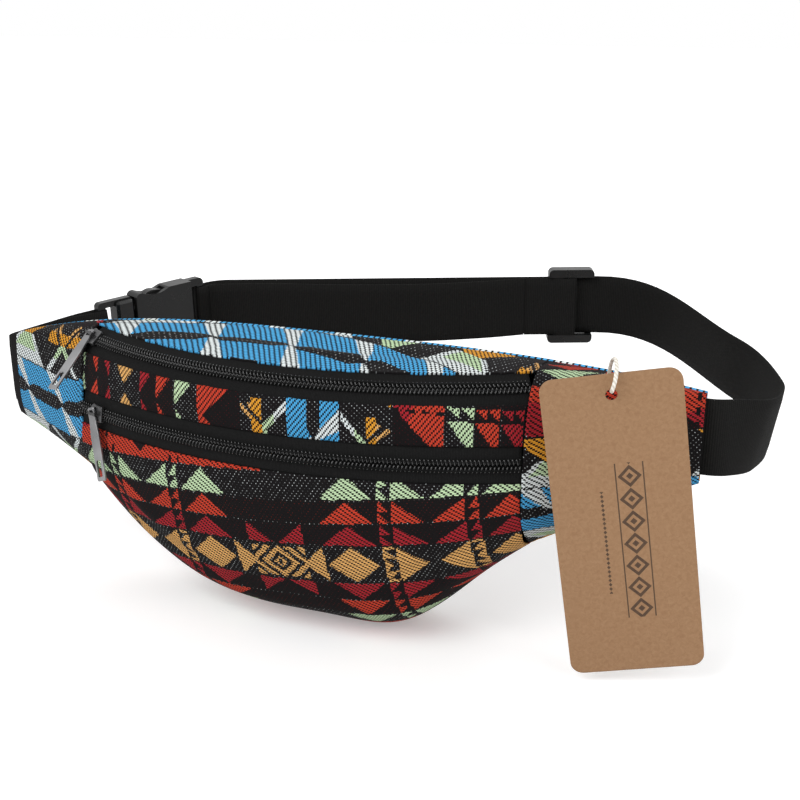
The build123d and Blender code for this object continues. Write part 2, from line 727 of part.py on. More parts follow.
# ================================================================ assembly
def build():
    buckle = TILT * Pos(BUCKLE_PLACE[0], BUCKLE_PLACE[1], 0) * Rot(0, 0, BUCKLE_ANGLE)
    gx, gy = run_at(GLIDE_PLACE, 0)
    glide = TILT * Pos(gx, gy, 0) * Rot(0, 0, STRAP_ANGLE)
    parts = {
        "back_panel": back_panel(),
        "top_panel": strip(FRONT_STATIONS, top_line, WALL, (0.0, ZIP_MITRE)),
        "front_band": strip(FRONT_STATIONS, band_line, WALL, (ZIP_MITRE, SEAM_GAP)),
        "pocket_panel": strip(FRONT_STATIONS, pocket_line, WALL, (SEAM_GAP, 0.0)),
        "pocket_divider": strip(FRONT_STATIONS, divider_line, DIVIDER_WALL),
        "wing_left": wing(-1),
        "wing_right": wing(1),
        "left_web": left_web(),
        "belt_main": belt_main(),
        "belt_return": TILT * belt_return(),
        "belt_hem": TILT * belt_hem(),
        "buckle_male": buckle * buckle_male(),
        "buckle_prong_upper": buckle * buckle_prong(1),
        "buckle_prong_lower": buckle * buckle_prong(-1),
        "buckle_female": buckle * buckle_female(),
        "tri_glide": glide * tri_glide(),
        "hang_tag": hang_tag(),
        "tag_string": tag_string(),
    }
    for name, track, start, turn in (
        ("main_zip", main_zip, MAIN_SLIDER_START, MAIN_PULL_TURN),
        ("pocket_zip", pocket_zip, POCKET_SLIDER_START, POCKET_PULL_TURN),
    ):
        parts.update(zip_parts(name, track))
        place = track.plane(zip_angle(track, start)).location
        parts[name + "_slider"] = place * slider()
        parts[name + "_pull"] = place * pull(turn)
    return parts


os.makedirs("parts", exist_ok=True)
for node, solid in build().items():
    export_step(solid, f"parts/{node}.step")
    print(node, round(solid.volume, 1))
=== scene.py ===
# %% [markdown]
# # A woven waist pack
# The pack is a boat-shaped pouch of thick woven cloth with two curved zips, on a belt of
# black webbing with a side-release buckle and an adjuster.  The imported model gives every
# piece its size and place.  This script gives the soft pieces their cloth shape and gives
# every piece its finish.  Shapes are worked out in millimetres and handed over in metres.

from functools import partial

import bmesh
import bpy
import numpy as np
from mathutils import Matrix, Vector


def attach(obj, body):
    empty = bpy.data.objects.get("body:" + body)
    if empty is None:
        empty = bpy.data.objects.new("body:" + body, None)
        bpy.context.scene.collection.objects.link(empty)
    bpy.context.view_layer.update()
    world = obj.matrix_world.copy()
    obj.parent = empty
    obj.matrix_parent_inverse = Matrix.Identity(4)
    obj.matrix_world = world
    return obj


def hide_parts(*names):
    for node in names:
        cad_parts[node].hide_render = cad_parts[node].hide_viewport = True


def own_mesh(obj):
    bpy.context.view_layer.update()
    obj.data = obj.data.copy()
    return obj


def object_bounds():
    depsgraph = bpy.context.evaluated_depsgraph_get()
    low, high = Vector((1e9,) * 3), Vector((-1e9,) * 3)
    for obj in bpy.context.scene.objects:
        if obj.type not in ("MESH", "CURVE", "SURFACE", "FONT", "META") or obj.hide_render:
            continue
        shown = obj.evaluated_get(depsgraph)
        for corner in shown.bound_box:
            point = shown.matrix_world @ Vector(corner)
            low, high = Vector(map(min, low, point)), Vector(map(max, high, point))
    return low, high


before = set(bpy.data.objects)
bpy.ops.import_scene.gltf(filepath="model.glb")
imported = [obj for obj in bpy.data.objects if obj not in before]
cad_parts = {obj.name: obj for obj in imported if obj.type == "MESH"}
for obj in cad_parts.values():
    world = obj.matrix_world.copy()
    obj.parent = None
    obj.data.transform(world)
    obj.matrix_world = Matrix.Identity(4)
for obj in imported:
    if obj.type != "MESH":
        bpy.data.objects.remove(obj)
cad_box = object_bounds()
print("CAD box", [[round(v, 3) for v in corner] for corner in cad_box])

MM = 0.001
rng = np.random.default_rng(7)

# %% [markdown]
# ## Camera, light and floor
# The pack is seen from its right and a little above, from about six tenths of a metre, so
# near pieces look clearly larger than the far strap.  Three large soft lamps and a pale
# world light it evenly, and a pale floor carries only its soft shadow.


# %% The camera
def camera_at(place, turn, tilt, lens):
    """A camera at `place`, turned `turn` degrees left and tilted `tilt` degrees down."""
    data = bpy.data.cameras.new("camera")
    data.lens = lens
    data.clip_start = 0.01
    camera = bpy.data.objects.new("camera", data)
    camera.location = [v * MM for v in place]
    camera.rotation_euler = (np.radians(90 - tilt), 0, np.radians(turn))
    bpy.context.collection.objects.link(camera)
    bpy.context.scene.camera = camera
    print("camera", round(camera.location.length, 3), "m from the frame's origin")


camera_at(place=(234.6, -530.6, 202.5), turn=20.1, tilt=19.5, lens=52.66)
bpy.context.scene.view_settings.view_transform = "Standard"


# %% Lamps
def soft_lamp(name, place, aim, size, power):
    """A square area lamp at `place` that faces `aim`, in metres and watts."""
    data = bpy.data.lights.new(name, "AREA")
    data.size = size
    data.energy = power
    lamp = bpy.data.objects.new(name, data)
    lamp.location = place
    lamp.rotation_euler = (Vector(aim) - Vector(place)).to_track_quat("-Z", "Y").to_euler()
    bpy.context.collection.objects.link(lamp)


soft_lamp("key", place=(-0.5, -1.0, 1.0), aim=(0, 0, 0), size=0.9, power=13.0)
soft_lamp("fill", place=(1.1, -0.5, 0.6), aim=(0, 0, 0), size=0.9, power=4.5)
soft_lamp("back", place=(0.2, 1.0, 1.2), aim=(0, 0.05, 0), size=0.8, power=8.0)


# %% [markdown]
# ## A few words for shaders
# A material is a small graph of nodes.  Written out link by link it hides what it does, so
# these helpers let a graph be read as sums: each makes one node and gives back its output.


# %% Shader helpers
def feed(tree, node, inputs):
    """Sets a node's inputs by label or number: an output is linked, a value is typed in."""
    for label, value in inputs.items():
        if isinstance(value, bpy.types.NodeSocket):
            tree.links.new(value, node.inputs[label])
        else:
            node.inputs[label].default_value = value


def add(tree, kind, inputs=None, **settings):
    """A new node with its properties set and its inputs fed."""
    node = tree.nodes.new(kind)
    for key, value in settings.items():
        setattr(node, key, value)
    feed(tree, node, inputs or {})
    return node


def new_material(name):
    """An empty node material with its tree and its Principled shader."""
    made = bpy.data.materials.new(name)
    made.use_nodes = True
    return made, made.node_tree, made.node_tree.nodes["Principled BSDF"]


def maths(tree, operation, *values):
    """A Math node's result on one to three numbers or outputs."""
    return add(tree, "ShaderNodeMath", dict(enumerate(values)), operation=operation).outputs[0]


def mixed(tree, factor, first, second):
    """A colour that goes from `first` to `second` as the factor goes from 0 to 1."""
    inputs = {0: factor, 6: first, 7: second}
    return add(tree, "ShaderNodeMix", inputs, data_type="RGBA").outputs[2]


# %% Ramps, noise and bumps
def ramp(tree, value, low, high, start=0.0, end=1.0, kind="SMOOTHSTEP"):
    """Goes from `start` to `end` while the value goes from `low` to `high`."""
    inputs = {"Value": value, "From Min": low, "From Max": high, "To Min": start, "To Max": end}
    return add(tree, "ShaderNodeMapRange", inputs, interpolation_type=kind).outputs[0]


def noise(tree, place, scale, detail=2.0, flat="2D", distortion=0.0):
    """Soft noise from 0 to 1, with about `scale` blobs to one unit of the place."""
    inputs = {"Vector": place, "Scale": scale, "Detail": detail, "Distortion": distortion}
    return add(tree, "ShaderNodeTexNoise", inputs, noise_dimensions=flat).outputs["Fac"]


def object_place(tree):
    """The place of a surface point in metres from its object's origin, which for every
    piece is the frame's."""
    return add(tree, "ShaderNodeTexCoord").outputs["Object"]


def bumped(tree, shader, height, strength, depth):
    """Roughens the shader's surface by a height output, `depth` millimetres deep."""
    inputs = {"Strength": strength, "Distance": depth * MM, "Height": height}
    feed(tree, shader, {"Normal": add(tree, "ShaderNodeBump", inputs).outputs[0]})


# %% Repeats in a shader
def off_middle(tree, value, pitch):
    """How far a value is from the middle of its cell, as a share of the pitch:
    |fract(value / pitch) - 1/2|."""
    part = maths(tree, "FRACT", maths(tree, "DIVIDE", value, pitch))
    return maths(tree, "ABSOLUTE", maths(tree, "SUBTRACT", part, 0.5))


def ridge(tree, cell):
    """One rounded ridge in each cell: sin(pi * fract(cell))."""
    return maths(tree, "SINE", maths(tree, "MULTIPLY", maths(tree, "FRACT", cell), np.pi))


# %% Colours
def rgb(code):
    """A linear colour from a six-figure sRGB code."""
    raw = np.array([int(code[i : i + 2], 16) / 255 for i in (0, 2, 4)])
    linear = np.where(raw <= 0.04045, raw / 12.92, ((raw + 0.055) / 1.055) ** 2.4)
    return (*linear.tolist(), 1.0)


def grey(value, blue=1.0):
    """A linear grey, a little bluer where `blue` is over 1."""
    return (value, value, value * blue, 1.0)


# %% The world
def studio_world(strength):
    """A pale world of this strength, which is plain white for the camera and in shiny or
    clear pieces: strength + (1 - strength) * the greatest of the three ray flags."""
    world = bpy.data.worlds.new("studio")
    world.use_nodes = True
    tree = world.node_tree
    path = add(tree, "ShaderNodeLightPath").outputs
    seen = maths(tree, "MAXIMUM", path["Is Camera Ray"], path["Is Glossy Ray"])
    seen = maths(tree, "MAXIMUM", seen, path["Is Transmission Ray"])
    light = maths(tree, "MULTIPLY_ADD", seen, 1 - strength, strength)
    feed(tree, tree.nodes["Background"], {"Color": grey(1), "Strength": light})
    bpy.context.scene.world = world


studio_world(0.55)


# %% The floor
def studio_floor(z):
    """A wide floor.  Its own faint glow, seen only by the camera, grows with distance as
    smoothstep(0.25 m .. 1.1 m), so the far floor is as white as the lit part."""
    bpy.ops.mesh.primitive_plane_add(size=12, location=(0, 0, z))
    floor = bpy.context.object
    floor.name = "floor"
    made, tree, shader = new_material("floor")
    far = add(tree, "ShaderNodeVectorMath", {0: object_place(tree)}, operation="LENGTH")
    glow = ramp(tree, far.outputs["Value"], 0.25, 1.1, 0.22, 0.75)
    camera_ray = add(tree, "ShaderNodeLightPath").outputs["Is Camera Ray"]
    surface = {
        "Base Color": grey(0.93),
        "Roughness": 0.9,
        "Specular IOR Level": 0.1,
        "Emission Color": grey(1),
        "Emission Strength": maths(tree, "MULTIPLY", glow, camera_ray),
    }
    feed(tree, shader, surface)
    floor.data.materials.append(made)


FLOOR_GAP = 0.004
studio_floor(cad_box[0][2] - FLOOR_GAP)

# %% [markdown]
# ## The hang tag's string
# A cotton string is a free cord, so it is one smooth curve through its route with a round
# section, and the tag hangs on it.  It leaves the wing's top seam, passes through the
# tag's hole and goes back into the same seam.

# %% The string
STRING = 1.8
STRING_ROUTE = [
    (149.0, -16.5, 33.8),
    (150.8, -24.5, 41.8),
    (154.5, -38.5, 48.8),
    (158.0, -52.0, 51.2),
    (158.8, -56.8, 45.3),
    (157.2, -55.8, 38.6),
    (155.8, -48.0, 37.0),
    (153.0, -35.5, 39.0),
    (148.4, -22.5, 31.4),
]


def string_piece(name, route, diameter):
    """A round cord along the smooth spline whose control points are `route`, as a mesh
    tube, and the points of that spline, which are its own line with no thickness."""
    data = bpy.data.curves.new(name, "CURVE")
    data.dimensions = "3D"
    spline = data.splines.new("NURBS")
    spline.points.add(len(route) - 1)
    for point, place in zip(spline.points, route):
        point.co = (*[v * MM for v in place], 1.0)
    spline.order_u = 3
    spline.use_endpoint_u = True
    data.resolution_u = 12
    data.bevel_resolution = 4
    data.use_fill_caps = True
    holder = bpy.data.objects.new(name + "_line", data)
    path = [vertex.co.copy() for vertex in bpy.data.meshes.new_from_object(holder).vertices]
    data.bevel_depth = diameter / 2 * MM
    tube = bpy.data.meshes.new_from_object(holder)
    bpy.data.objects.remove(holder)
    tube.materials.clear()
    tube.shade_smooth()
    made = bpy.data.objects.new(name, tube)
    bpy.context.collection.objects.link(made)
    return made, path


string, string_path = string_piece("cotton_string", STRING_ROUTE, STRING)
print("cotton_string", len(string_path), "points on its line")
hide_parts("tag_string")
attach(string, "pouch")


# %% Cotton of the string
def cotton_material():
    """Unbleached twisted cotton: pale yarn whose slanting grooves are painted darker as shade."""
    made, tree, shader = new_material("cotton")
    inputs = {"Vector": object_place(tree), "Scale": 260.0, "Distortion": 2.0}
    shape = {"wave_type": "BANDS", "bands_direction": "DIAGONAL"}
    twist = add(tree, "ShaderNodeTexWave", inputs, **shape).outputs["Fac"]
    # Painted shade: the colour darkens in the grooves of the twist.
    yarn = mixed(tree, twist, rgb("CFC8BA"), rgb("F2EEE6"))
    feed(tree, shader, {"Base Color": yarn, "Roughness": 0.9})
    bumped(tree, shader, twist, strength=0.5, depth=0.2)
    return made


string.data.materials.append(cotton_material())

# %% [markdown]
# ## Surfaces from arrays
# Every cloth piece is a grid of points: rows run down a smooth section line and columns run
# along the pack.  The grid is worked out as whole arrays and then given to a mesh, with a
# cloth coordinate in millimetres stored as its UV map.  The weave is drawn in that
# coordinate, so it follows the cloth and not the room.

# %% Lines and directions
def unit(vectors):
    """The same directions with length 1."""
    return vectors / np.linalg.norm(vectors, axis=-1, keepdims=True)


def length_along(points):
    """Length of a line, or of many side by side, from its start to each of its points."""
    steps = np.linalg.norm(np.diff(points, axis=0), axis=-1)
    return np.concatenate([np.zeros((1, *steps.shape[1:])), np.cumsum(steps, axis=0)])


def cubic(t, start, start_slope, end, end_slope):
    """The cubic from start to end, over t = 0 to 1, that has these slopes at its ends."""
    return (
        (2 * t**3 - 3 * t**2 + 1) * start
        + (t**3 - 2 * t**2 + t) * start_slope
        + (3 * t**2 - 2 * t**3) * end
        + (t**3 - t**2) * end_slope
    )


# %% Smooth sections
FINE_STEPS = 20


def smooth_lines(points, count):
    """Smooth lines through `points` (k, n, 2), each cut into `count` equal lengths, and
    their lengths.  Between two points runs the cubic whose end slopes are half the step
    from the point before to the point after."""
    before_first = 2 * points[:1] - points[1:2]
    after_last = 2 * points[-1:] - points[-2:-1]
    padded = np.concatenate([before_first, points, after_last])
    t = np.linspace(0, 1, FINE_STEPS, endpoint=False)[:, None, None]
    pieces = [
        cubic(t, b, (c - a) / 2, c, (d - b) / 2)
        for a, b, c, d in zip(padded, padded[1:], padded[2:], padded[3:])
    ]
    fine = np.concatenate(pieces + [points[-1:]])
    length = length_along(fine)
    wanted = np.linspace(0, 1, count)
    even = np.empty((count, fine.shape[1], 2))
    for column in range(fine.shape[1]):
        at = wanted * length[-1, column]
        for axis in (0, 1):
            even[:, column, axis] = np.interp(at, length[:, column], fine[:, column, axis])
    return even, length[-1]


def normals_of(points):
    """Unit normals of a grid: the cross product of its two step directions."""
    return unit(np.cross(np.gradient(points, axis=0), np.gradient(points, axis=1)))


# %% Grid to mesh
MAP_UNIT = 100.0


def grid_object(name, points, cloth=None, wrap=False):
    """A quad surface through `points` (rows, columns, 3) in millimetres, and its quads.
    Corner (i, j) joins (i + 1, j), (i + 1, j + 1) and (i, j + 1); `wrap` closes the rows.
    The UV map holds the cloth's millimetres divided by MAP_UNIT."""
    rows, columns = points.shape[:2]
    index = np.arange(rows * columns).reshape(rows, columns)
    below = np.roll(index, -1, axis=0) if wrap else index[1:]
    upper = index if wrap else index[:-1]
    quads = np.stack([upper[:, :-1], below[:, :-1], below[:, 1:], upper[:, 1:]], axis=-1)
    quads = quads.reshape(-1, 4)
    mesh = bpy.data.meshes.new(name)
    mesh.vertices.add(rows * columns)
    mesh.vertices.foreach_set("co", (points.reshape(-1, 3) * MM).astype(np.float32).ravel())
    mesh.loops.add(quads.size)
    mesh.loops.foreach_set("vertex_index", quads.astype(np.int32).ravel())
    mesh.polygons.add(len(quads))
    mesh.polygons.foreach_set("loop_start", np.arange(0, quads.size, 4, dtype=np.int32))
    mesh.update(calc_edges=True)
    mesh.validate()
    mesh.shade_smooth()
    if cloth is not None:
        corner = cloth.reshape(-1, 2)[quads.ravel()] / MAP_UNIT
        layer = mesh.uv_layers.new(name="cloth")
        layer.data.foreach_set("uv", corner.astype(np.float32).ravel())
    made = bpy.data.objects.new(name, mesh)
    bpy.context.collection.objects.link(made)
    return made, quads


# %% Cloth coordinates in a shader
def cloth_map(tree):
    """The piece's own cloth coordinate, as its UV map holds it."""
    return add(tree, "ShaderNodeUVMap", uv_map="cloth").outputs[0]


def in_millimetres(tree, place):
    """The two numbers of a cloth coordinate, each times MAP_UNIT."""
    split = add(tree, "ShaderNodeSeparateXYZ", {0: place})
    return [maths(tree, "MULTIPLY", split.outputs[axis], MAP_UNIT) for axis in (0, 1)]


# %% [markdown]
# ## Shape of the pouch
# The pouch is described by upright sections: for each place along the pack a short list of
# points gives the section's line.  The two zips lie on level arcs, and the panels start and
# end at their tape edges.

# %% Pouch sizes (mm)
TIP_X = 192.5
SEAM_X = 118.0
TOP_Z = 35.0
LEFT_TIP = (15.7, -31.0)
RIGHT_TIP = (25.2, -18.5)
BACK_WALL = 2.6
SEAM_GAP = 0.3
HALF_BAND = 8.5
TAPE = 0.5
BELLY = {"middle": 103.0, "seam": 53.0}
BACK_DEPTH = {"middle": 86.0, "seam": 50.0}
BELLY_LEAN = 10.0
SAG = {"depth": 15.0, "place": 61.0, "width": 35.0}
PADDING = 1.4
TIP_DEPTH = 5.4
SEAM_Y = -BACK_WALL - SEAM_GAP


# %% Edges of the pouch
def tip_of(x, end):
    """Height of the wing's top (end 0) or bottom (end 1) edge at the tip on x's side."""
    return np.where(x < 0, LEFT_TIP[end], RIGHT_TIP[end])


def top_z(x):
    """Back panel's top edge: highest in the middle, falling with the cube of x."""
    return tip_of(x, 0) + (TOP_Z - tip_of(x, 0)) * (1 - (np.abs(x) / TIP_X) ** 3)


def lower_edge(x, depth):
    """A parabola between the seams, with its lowest place moved left by BELLY_LEAN and
    the load's bell-shaped sag added to it, then a straight rise to the wing's tip."""
    share = np.minimum(np.abs(x) / SEAM_X, 1.0)
    u = np.minimum(np.abs(x + BELLY_LEAN * (1 - share**2)) / SEAM_X, 1.0)
    belly = (depth["middle"] - depth["seam"]) * (1 - u**2)
    sag = SAG["depth"] * np.exp(-(((x - SAG["place"]) / SAG["width"]) ** 2)) * (1 - share**4)
    wing = np.maximum(np.abs(x) - SEAM_X, 0.0) / (TIP_X - SEAM_X)
    return -(depth["seam"] + belly + sag) + (depth["seam"] + tip_of(x, 1)) * wing


def bottom_z(x):
    """The pocket's lowest line."""
    return lower_edge(x, BELLY)


def back_bottom_z(x):
    """The back panel's lower edge."""
    return lower_edge(x, BACK_DEPTH)


# %% The zips' arcs
class ZipLine:
    """A level arc of `radius` that stands `front` before the back, face tilted up."""

    def __init__(self, radius, front, z, tilt):
        self.radius = radius
        self.centre_y = radius - front
        self.z = z
        self.tilt = np.radians(tilt)

    def edge(self, across, out=0.0):
        """Radius and height of the line `across` the face and `out` from it."""
        r = self.radius - across * np.sin(self.tilt) + out * np.cos(self.tilt)
        return r, self.z + across * np.cos(self.tilt) + out * np.sin(self.tilt)

    def point(self, x, across, out=0.0):
        """The same line where it crosses the upright plane at x, as (y, z)."""
        r, z = self.edge(across, out)
        return self.centre_y - np.sqrt(r * r - x * x), z + 0 * x

    def at_length(self, s, across, out=0.0):
        """The same line at the length s along the arc from its middle, as (x, y, z)."""
        angle = s / self.radius
        r, z = self.edge(across, out)
        x, y = r * np.sin(angle), self.centre_y - r * np.cos(angle)
        return np.stack([x, y, z + 0 * angle], axis=-1)

    def half_length(self):
        """Half the arc's length between the zip's two ends."""
        return self.radius * np.arcsin(ZIP_END / self.radius)


ZIP_END = SEAM_X - 0.6
main_zip = ZipLine(radius=242.0, front=66.0, z=29.5, tilt=50.0)
pocket_zip = ZipLine(radius=282.0, front=74.0, z=-3.7, tilt=10.0)
for zip_line in (main_zip, pocket_zip):
    print("zip", round(2 * zip_line.half_length(), 1), "mm long at height", zip_line.z)


# %% Sections of the panels
def line(*pairs):
    """Section points (y, z) as one array (k, n, 2)."""
    return np.array([np.stack(np.broadcast_arrays(y, z), axis=-1) for y, z in pairs])


def top_line(x):
    """From the back panel's top edge forward to the main zip, by a point half way that
    stands 1.2 mm proud."""
    y, z = main_zip.point(x, HALF_BAND + SEAM_GAP, TAPE / 2)
    half_way = (SEAM_Y + (y - SEAM_Y) * 0.5, (z + top_z(x)) / 2 + 1.2)
    return line((SEAM_Y + 0 * x, top_z(x)), half_way, (y, z))


def band_line(x):
    """From the main zip down to the pocket zip, 1 mm proud half way."""
    y0, z0 = main_zip.point(x, -HALF_BAND - SEAM_GAP, TAPE / 2)
    y1, z1 = pocket_zip.point(x, HALF_BAND + SEAM_GAP, TAPE / 2)
    return line((y0, z0), ((y0 + y1) / 2 - 1.0, (z0 + z1) / 2), (y1, z1))


# %% The pocket's section
def pocket_line(x):
    """From the pocket zip over the belly and under it to the back panel.  The points on
    the way lie at shares of the drop and of the zip's distance from the back."""
    y, z = pocket_zip.point(x, -HALF_BAND - SEAM_GAP, TAPE / 2)
    low = bottom_z(x)
    drop = z - low
    return line(
        (y, z),
        (y - 1.5, z - drop * 0.22),
        (y + 3.0, z - drop * 0.55),
        (y * 0.80, z - drop * 0.84),
        (y * 0.52, low),
        (y * 0.25, (low + back_bottom_z(x)) / 2 - 1.0),
        (SEAM_Y + 0 * x, back_bottom_z(x)),
    )


# %% The wings, back and lining
def wing_line(x):
    """The side seam's section drawn flat and narrow towards the tip.  Each seam point
    keeps its share of the height, and what stands above the panel shrinks with depth,
    which falls in a straight line to about TIP_DEPTH at the tip."""
    seam_x = np.array([SEAM_X if x[0] + x[-1] > 0 else -SEAM_X])
    top, band, pocket = top_line(seam_x), band_line(seam_x), pocket_line(seam_x)
    seam = np.stack([top[0], top[2], band[0], pocket[0], pocket[2], pocket[4], pocket[6]])
    t = (np.abs(x) - SEAM_X) / (TIP_X - SEAM_X)
    depth = 1 - t * (1 + TIP_DEPTH / seam[3, 0, 0])
    rise = (seam[:, :, 1] - seam[-1, 0, 1]) / (seam[0, 0, 1] - seam[-1, 0, 1])
    inside = np.clip(rise, 0.0, 1.0)
    rise = inside + (rise - inside) * depth
    y = SEAM_Y + (seam[:, :, 0] - SEAM_Y) * depth
    z = back_bottom_z(x) + (top_z(x) - back_bottom_z(x)) * rise
    return np.stack([y, z], axis=-1)


def back_line(x):
    """The flat back, crowned by its thin padding: PADDING * (1 - (2 share - 1)^2), which
    fades towards the tips."""
    high, low = top_z(x), back_bottom_z(x)
    crown = PADDING * (1 - (np.abs(x) / TIP_X) ** 4)
    shares = (0.0, 0.2, 0.5, 0.8, 1.0)
    return line(*[(crown * (1 - (2 * q - 1) ** 2), high + (low - high) * q) for q in shares])


def divider_line(x):
    """The lining behind the front pocket, from behind the zip's tape to near the bottom."""
    y, z = pocket_zip.point(x, 12.0)
    low = bottom_z(x)
    return line((y + 1.5, z), (y + 12.0, (z + low) / 2 + 10.0), (y * 0.56 + 7.2, low + 2.6))


# %% [markdown]
# ## The blanket cloth
# The cloth is a jacquard stripe blanket: rows of stepped triangles and diamonds that mirror
# about each tan row and about each blue row.  Yarn floats over a black ground to draw the
# motifs, and single pin ties show through the ground between them, pale ones, or dim red
# ones in the red rows.  The drawing below is a plain geometric one in two numbers: `w`, the
# distance from the nearest medallion along a row, and `k`, the distance from the nearest
# tan row across the rows.
# Each small face of a panel gets one yarn colour, which gives the stepped edges of weaving.

# %% Yarn colours and repeats (mm)
YARN = {
    "tan": rgb("DFAA66"),
    "crimson": rgb("A3242C"),
    "brick": rgb("C43F2B"),
    "mint": rgb("BFD9AE"),
    "mustard": rgb("D9962F"),
    "sky": rgb("4AA3D8"),
    "white": rgb("DDE4E4"),
    "black": rgb("131112"),
}
MEDALLION_REPEAT = 152.0
HALF_MEDALLION = MEDALLION_REPEAT / 2
ROW_REPEAT = 219.0
HALF_ROW = ROW_REPEAT / 2
LENS_REPEAT = 38.0
TRIANGLE = 37.5
POST = 52.6
FLAG = 59.0
RED_PINS = 0.3
TRIANGLE_ROWS = [(11.7, 22.4, "crimson"), (23.3, 34.4, "brick"), (35.3, 47.2, "mint")]
TAN_ROW = 10.8
RED_ROW = (48.4, 72.0)
MUSTARD_ROW = (73.0, 84.0)
PALE_ROW = (84.0, 96.4)
BLUE_ROW = 97.0


def mirrored(value, repeat):
    """Distance from the nearest whole multiple of `repeat`."""
    return np.abs((value + repeat / 2) % repeat - repeat / 2)


def within(value, row):
    """Where the value lies in a row, from its start to just under its end."""
    return (value >= row[0]) & (value < row[1])


# %% Drawing the cloth
def blanket(u, v):
    """Yarn colour, float mask and pin colour at cloth points (u, v) in millimetres.
    k = |v| folded at half the row repeat, w = |u| folded at half the medallion repeat.
    In a row of triangles q runs 0 to 1 away from the tan row.  A triangle is where the
    distance from its middle is under its half width times (1 - q); a flag is half of one,
    with its upright side at FLAG; a post is a narrow column of small teeth at POST."""
    w = mirrored(u, MEDALLION_REPEAT)
    k = mirrored(v, ROW_REPEAT)
    from_triangle = np.abs(w - TRIANGLE)
    from_end = np.abs(w - HALF_MEDALLION)
    yarn = np.tile(np.array(YARN["black"][:3]), (*u.shape, 1))
    pins = np.tile(np.array(YARN["white"][:3]), (*u.shape, 1))
    floats = np.zeros(u.shape)

    def lay(where, colour):
        """Floats yarn of this colour over the points where the mask is true."""
        yarn[where] = YARN[colour][:3]
        floats[where] = 1.0

    for low, high, colour in TRIANGLE_ROWS:
        q = (k - low) / (high - low)
        row = (q >= 0) & (q <= 1)
        post = row & (w > POST)
        if colour != "mint":
            pins[row] = RED_PINS * np.array(YARN[colour][:3])
        lay(row & (from_triangle < 12.9 * (1 - q)), colour)
        lay(row & (w > FLAG) & (w < FLAG + 15.5 * (1 - q)), colour)
        lay(post & (q < 0.44) & (w < POST + 0.8 + 4.6 * (1 - q / 0.44)), colour)
        lay(post & (q > 0.52) & (w < POST + 0.8 + 4.2 * (1 - (q - 0.52) / 0.48)), colour)
        if colour == "crimson":
            lay(row & (w > 1.2) & (w < 14.6) & (q * 13.4 < w - 1.2), colour)

    # The tan row: diamonds, arrowheads, posts and the medallion's slanting strokes.
    m = 1 - k / TAN_ROW
    row = m > 0
    lay(row & (from_triangle < 12.6 * m), "tan")
    lay(row & (w > FLAG) & (w < FLAG + 14.6 * m), "tan")
    lay(row & (w < 23.5) & (w > 23.5 - 11 * m), "tan")
    lay(row & (w > POST) & (w < POST + 0.4 + 5.6 * (1 - ((k + 1.5) % 5.4) / 5.4)), "tan")
    lay(row & (w < 14) & (m > 0.12) & ((w + k) % 6.4 < 3.6) & (w + 0.5 * k > 1.4), "tan")

    # The broad red row, with a black notch at the repeat's end and rows of small blocks.
    row = within(k, RED_ROW)
    pins[row] = RED_PINS * np.array(YARN["crimson"][:3])
    notch = from_end < (k - 51.0) * 1.02
    block = ((w - 50) % 5.2 < 1.5) & (w > 50) & (w < 60) & ((k + 1) % 7 < 4)
    lay(row & ~notch & ~block, "brick")
    yarn[row & ~notch & (k > 62 + 0.25 * (w - 50))] = YARN["crimson"][:3]

    # The tan and mustard row: a hollow crossed figure and a flat-topped one.
    row = within(k, MUSTARD_ROW)
    lay(row & (from_end > 4.6 - 0.9 * (k - 78)) & (from_end < 10.5 + 0.3 * (k - 73)), "tan")
    lay(row & (k > 79) & (from_end < 15), "mustard")
    hollow = row & (np.abs(from_end - 3.0 - 0.9 * (84 - k)) < 1.4)
    yarn[hollow] = YARN["black"][:3]
    floats[hollow] = 0.0
    lay(row & (w < 58) & (from_triangle < 18 - 1.2 * (k - 73)), "mustard")

    # The pale row: two white strands that part, and mint hearts in white figures.
    row = within(k, PALE_ROW)
    strand = np.abs(from_end - 1.15 * (k - 84)) < 2.1
    lay(row & strand, "white")
    lay(row & strand & (k < 90), "mint")
    lay(row & (from_triangle < 19 - 0.9 * (96.4 - k)), "white")
    lay(row & (from_triangle < 12 - 0.9 * (92 - k)) & (k < 91), "mint")
    lay(row & (w < 14 - 0.9 * (k - 84)), "mint")

    # The blue row: black lenses along its middle line, and slanting white crossings that
    # grow narrower towards it.
    past = v % ROW_REPEAT - HALF_ROW
    cross = mirrored(u - 0.9 * past, LENS_REPEAT)
    lens = 0.7 + 2.5 * np.minimum(mirrored(u, LENS_REPEAT) / 6.0, 1.0)
    row = (k >= BLUE_ROW) & (HALF_ROW - k > lens)
    lay(row, "sky")
    lay(row & (cross < 2.2 + 0.3 * (107 - k)), "white")
    return yarn, floats, pins


# %% Painting a panel
YARN_SPREAD = 0.03


def dye(made, quads, cloth, sewn):
    """Gives every face of a panel one yarn colour, sampled at the face's middle, with a
    spread of brightness from yarn to yarn.  Faces that are `sewn` show only black,
    as thread over them or the tape that binds the buckle side's tip."""
    middle = cloth.reshape(-1, 2)[quads].mean(axis=1)
    yarn, floats, pins = blanket(middle[:, 0], middle[:, 1])
    yarn = yarn * (1 + rng.normal(0, YARN_SPREAD, (len(yarn), 1)))
    floats = np.where(sewn, 0.0, floats)
    pins[sewn] = YARN["black"][:3]
    for name, colour in (("yarn", yarn), ("pins", pins)):
        layer = made.data.color_attributes.new(name=name, type="FLOAT_COLOR", domain="CORNER")
        rgba = np.concatenate([colour, floats[:, None]], axis=1)
        layer.data.foreach_set("color", np.repeat(rgba, 4, axis=0).astype(np.float32).ravel())


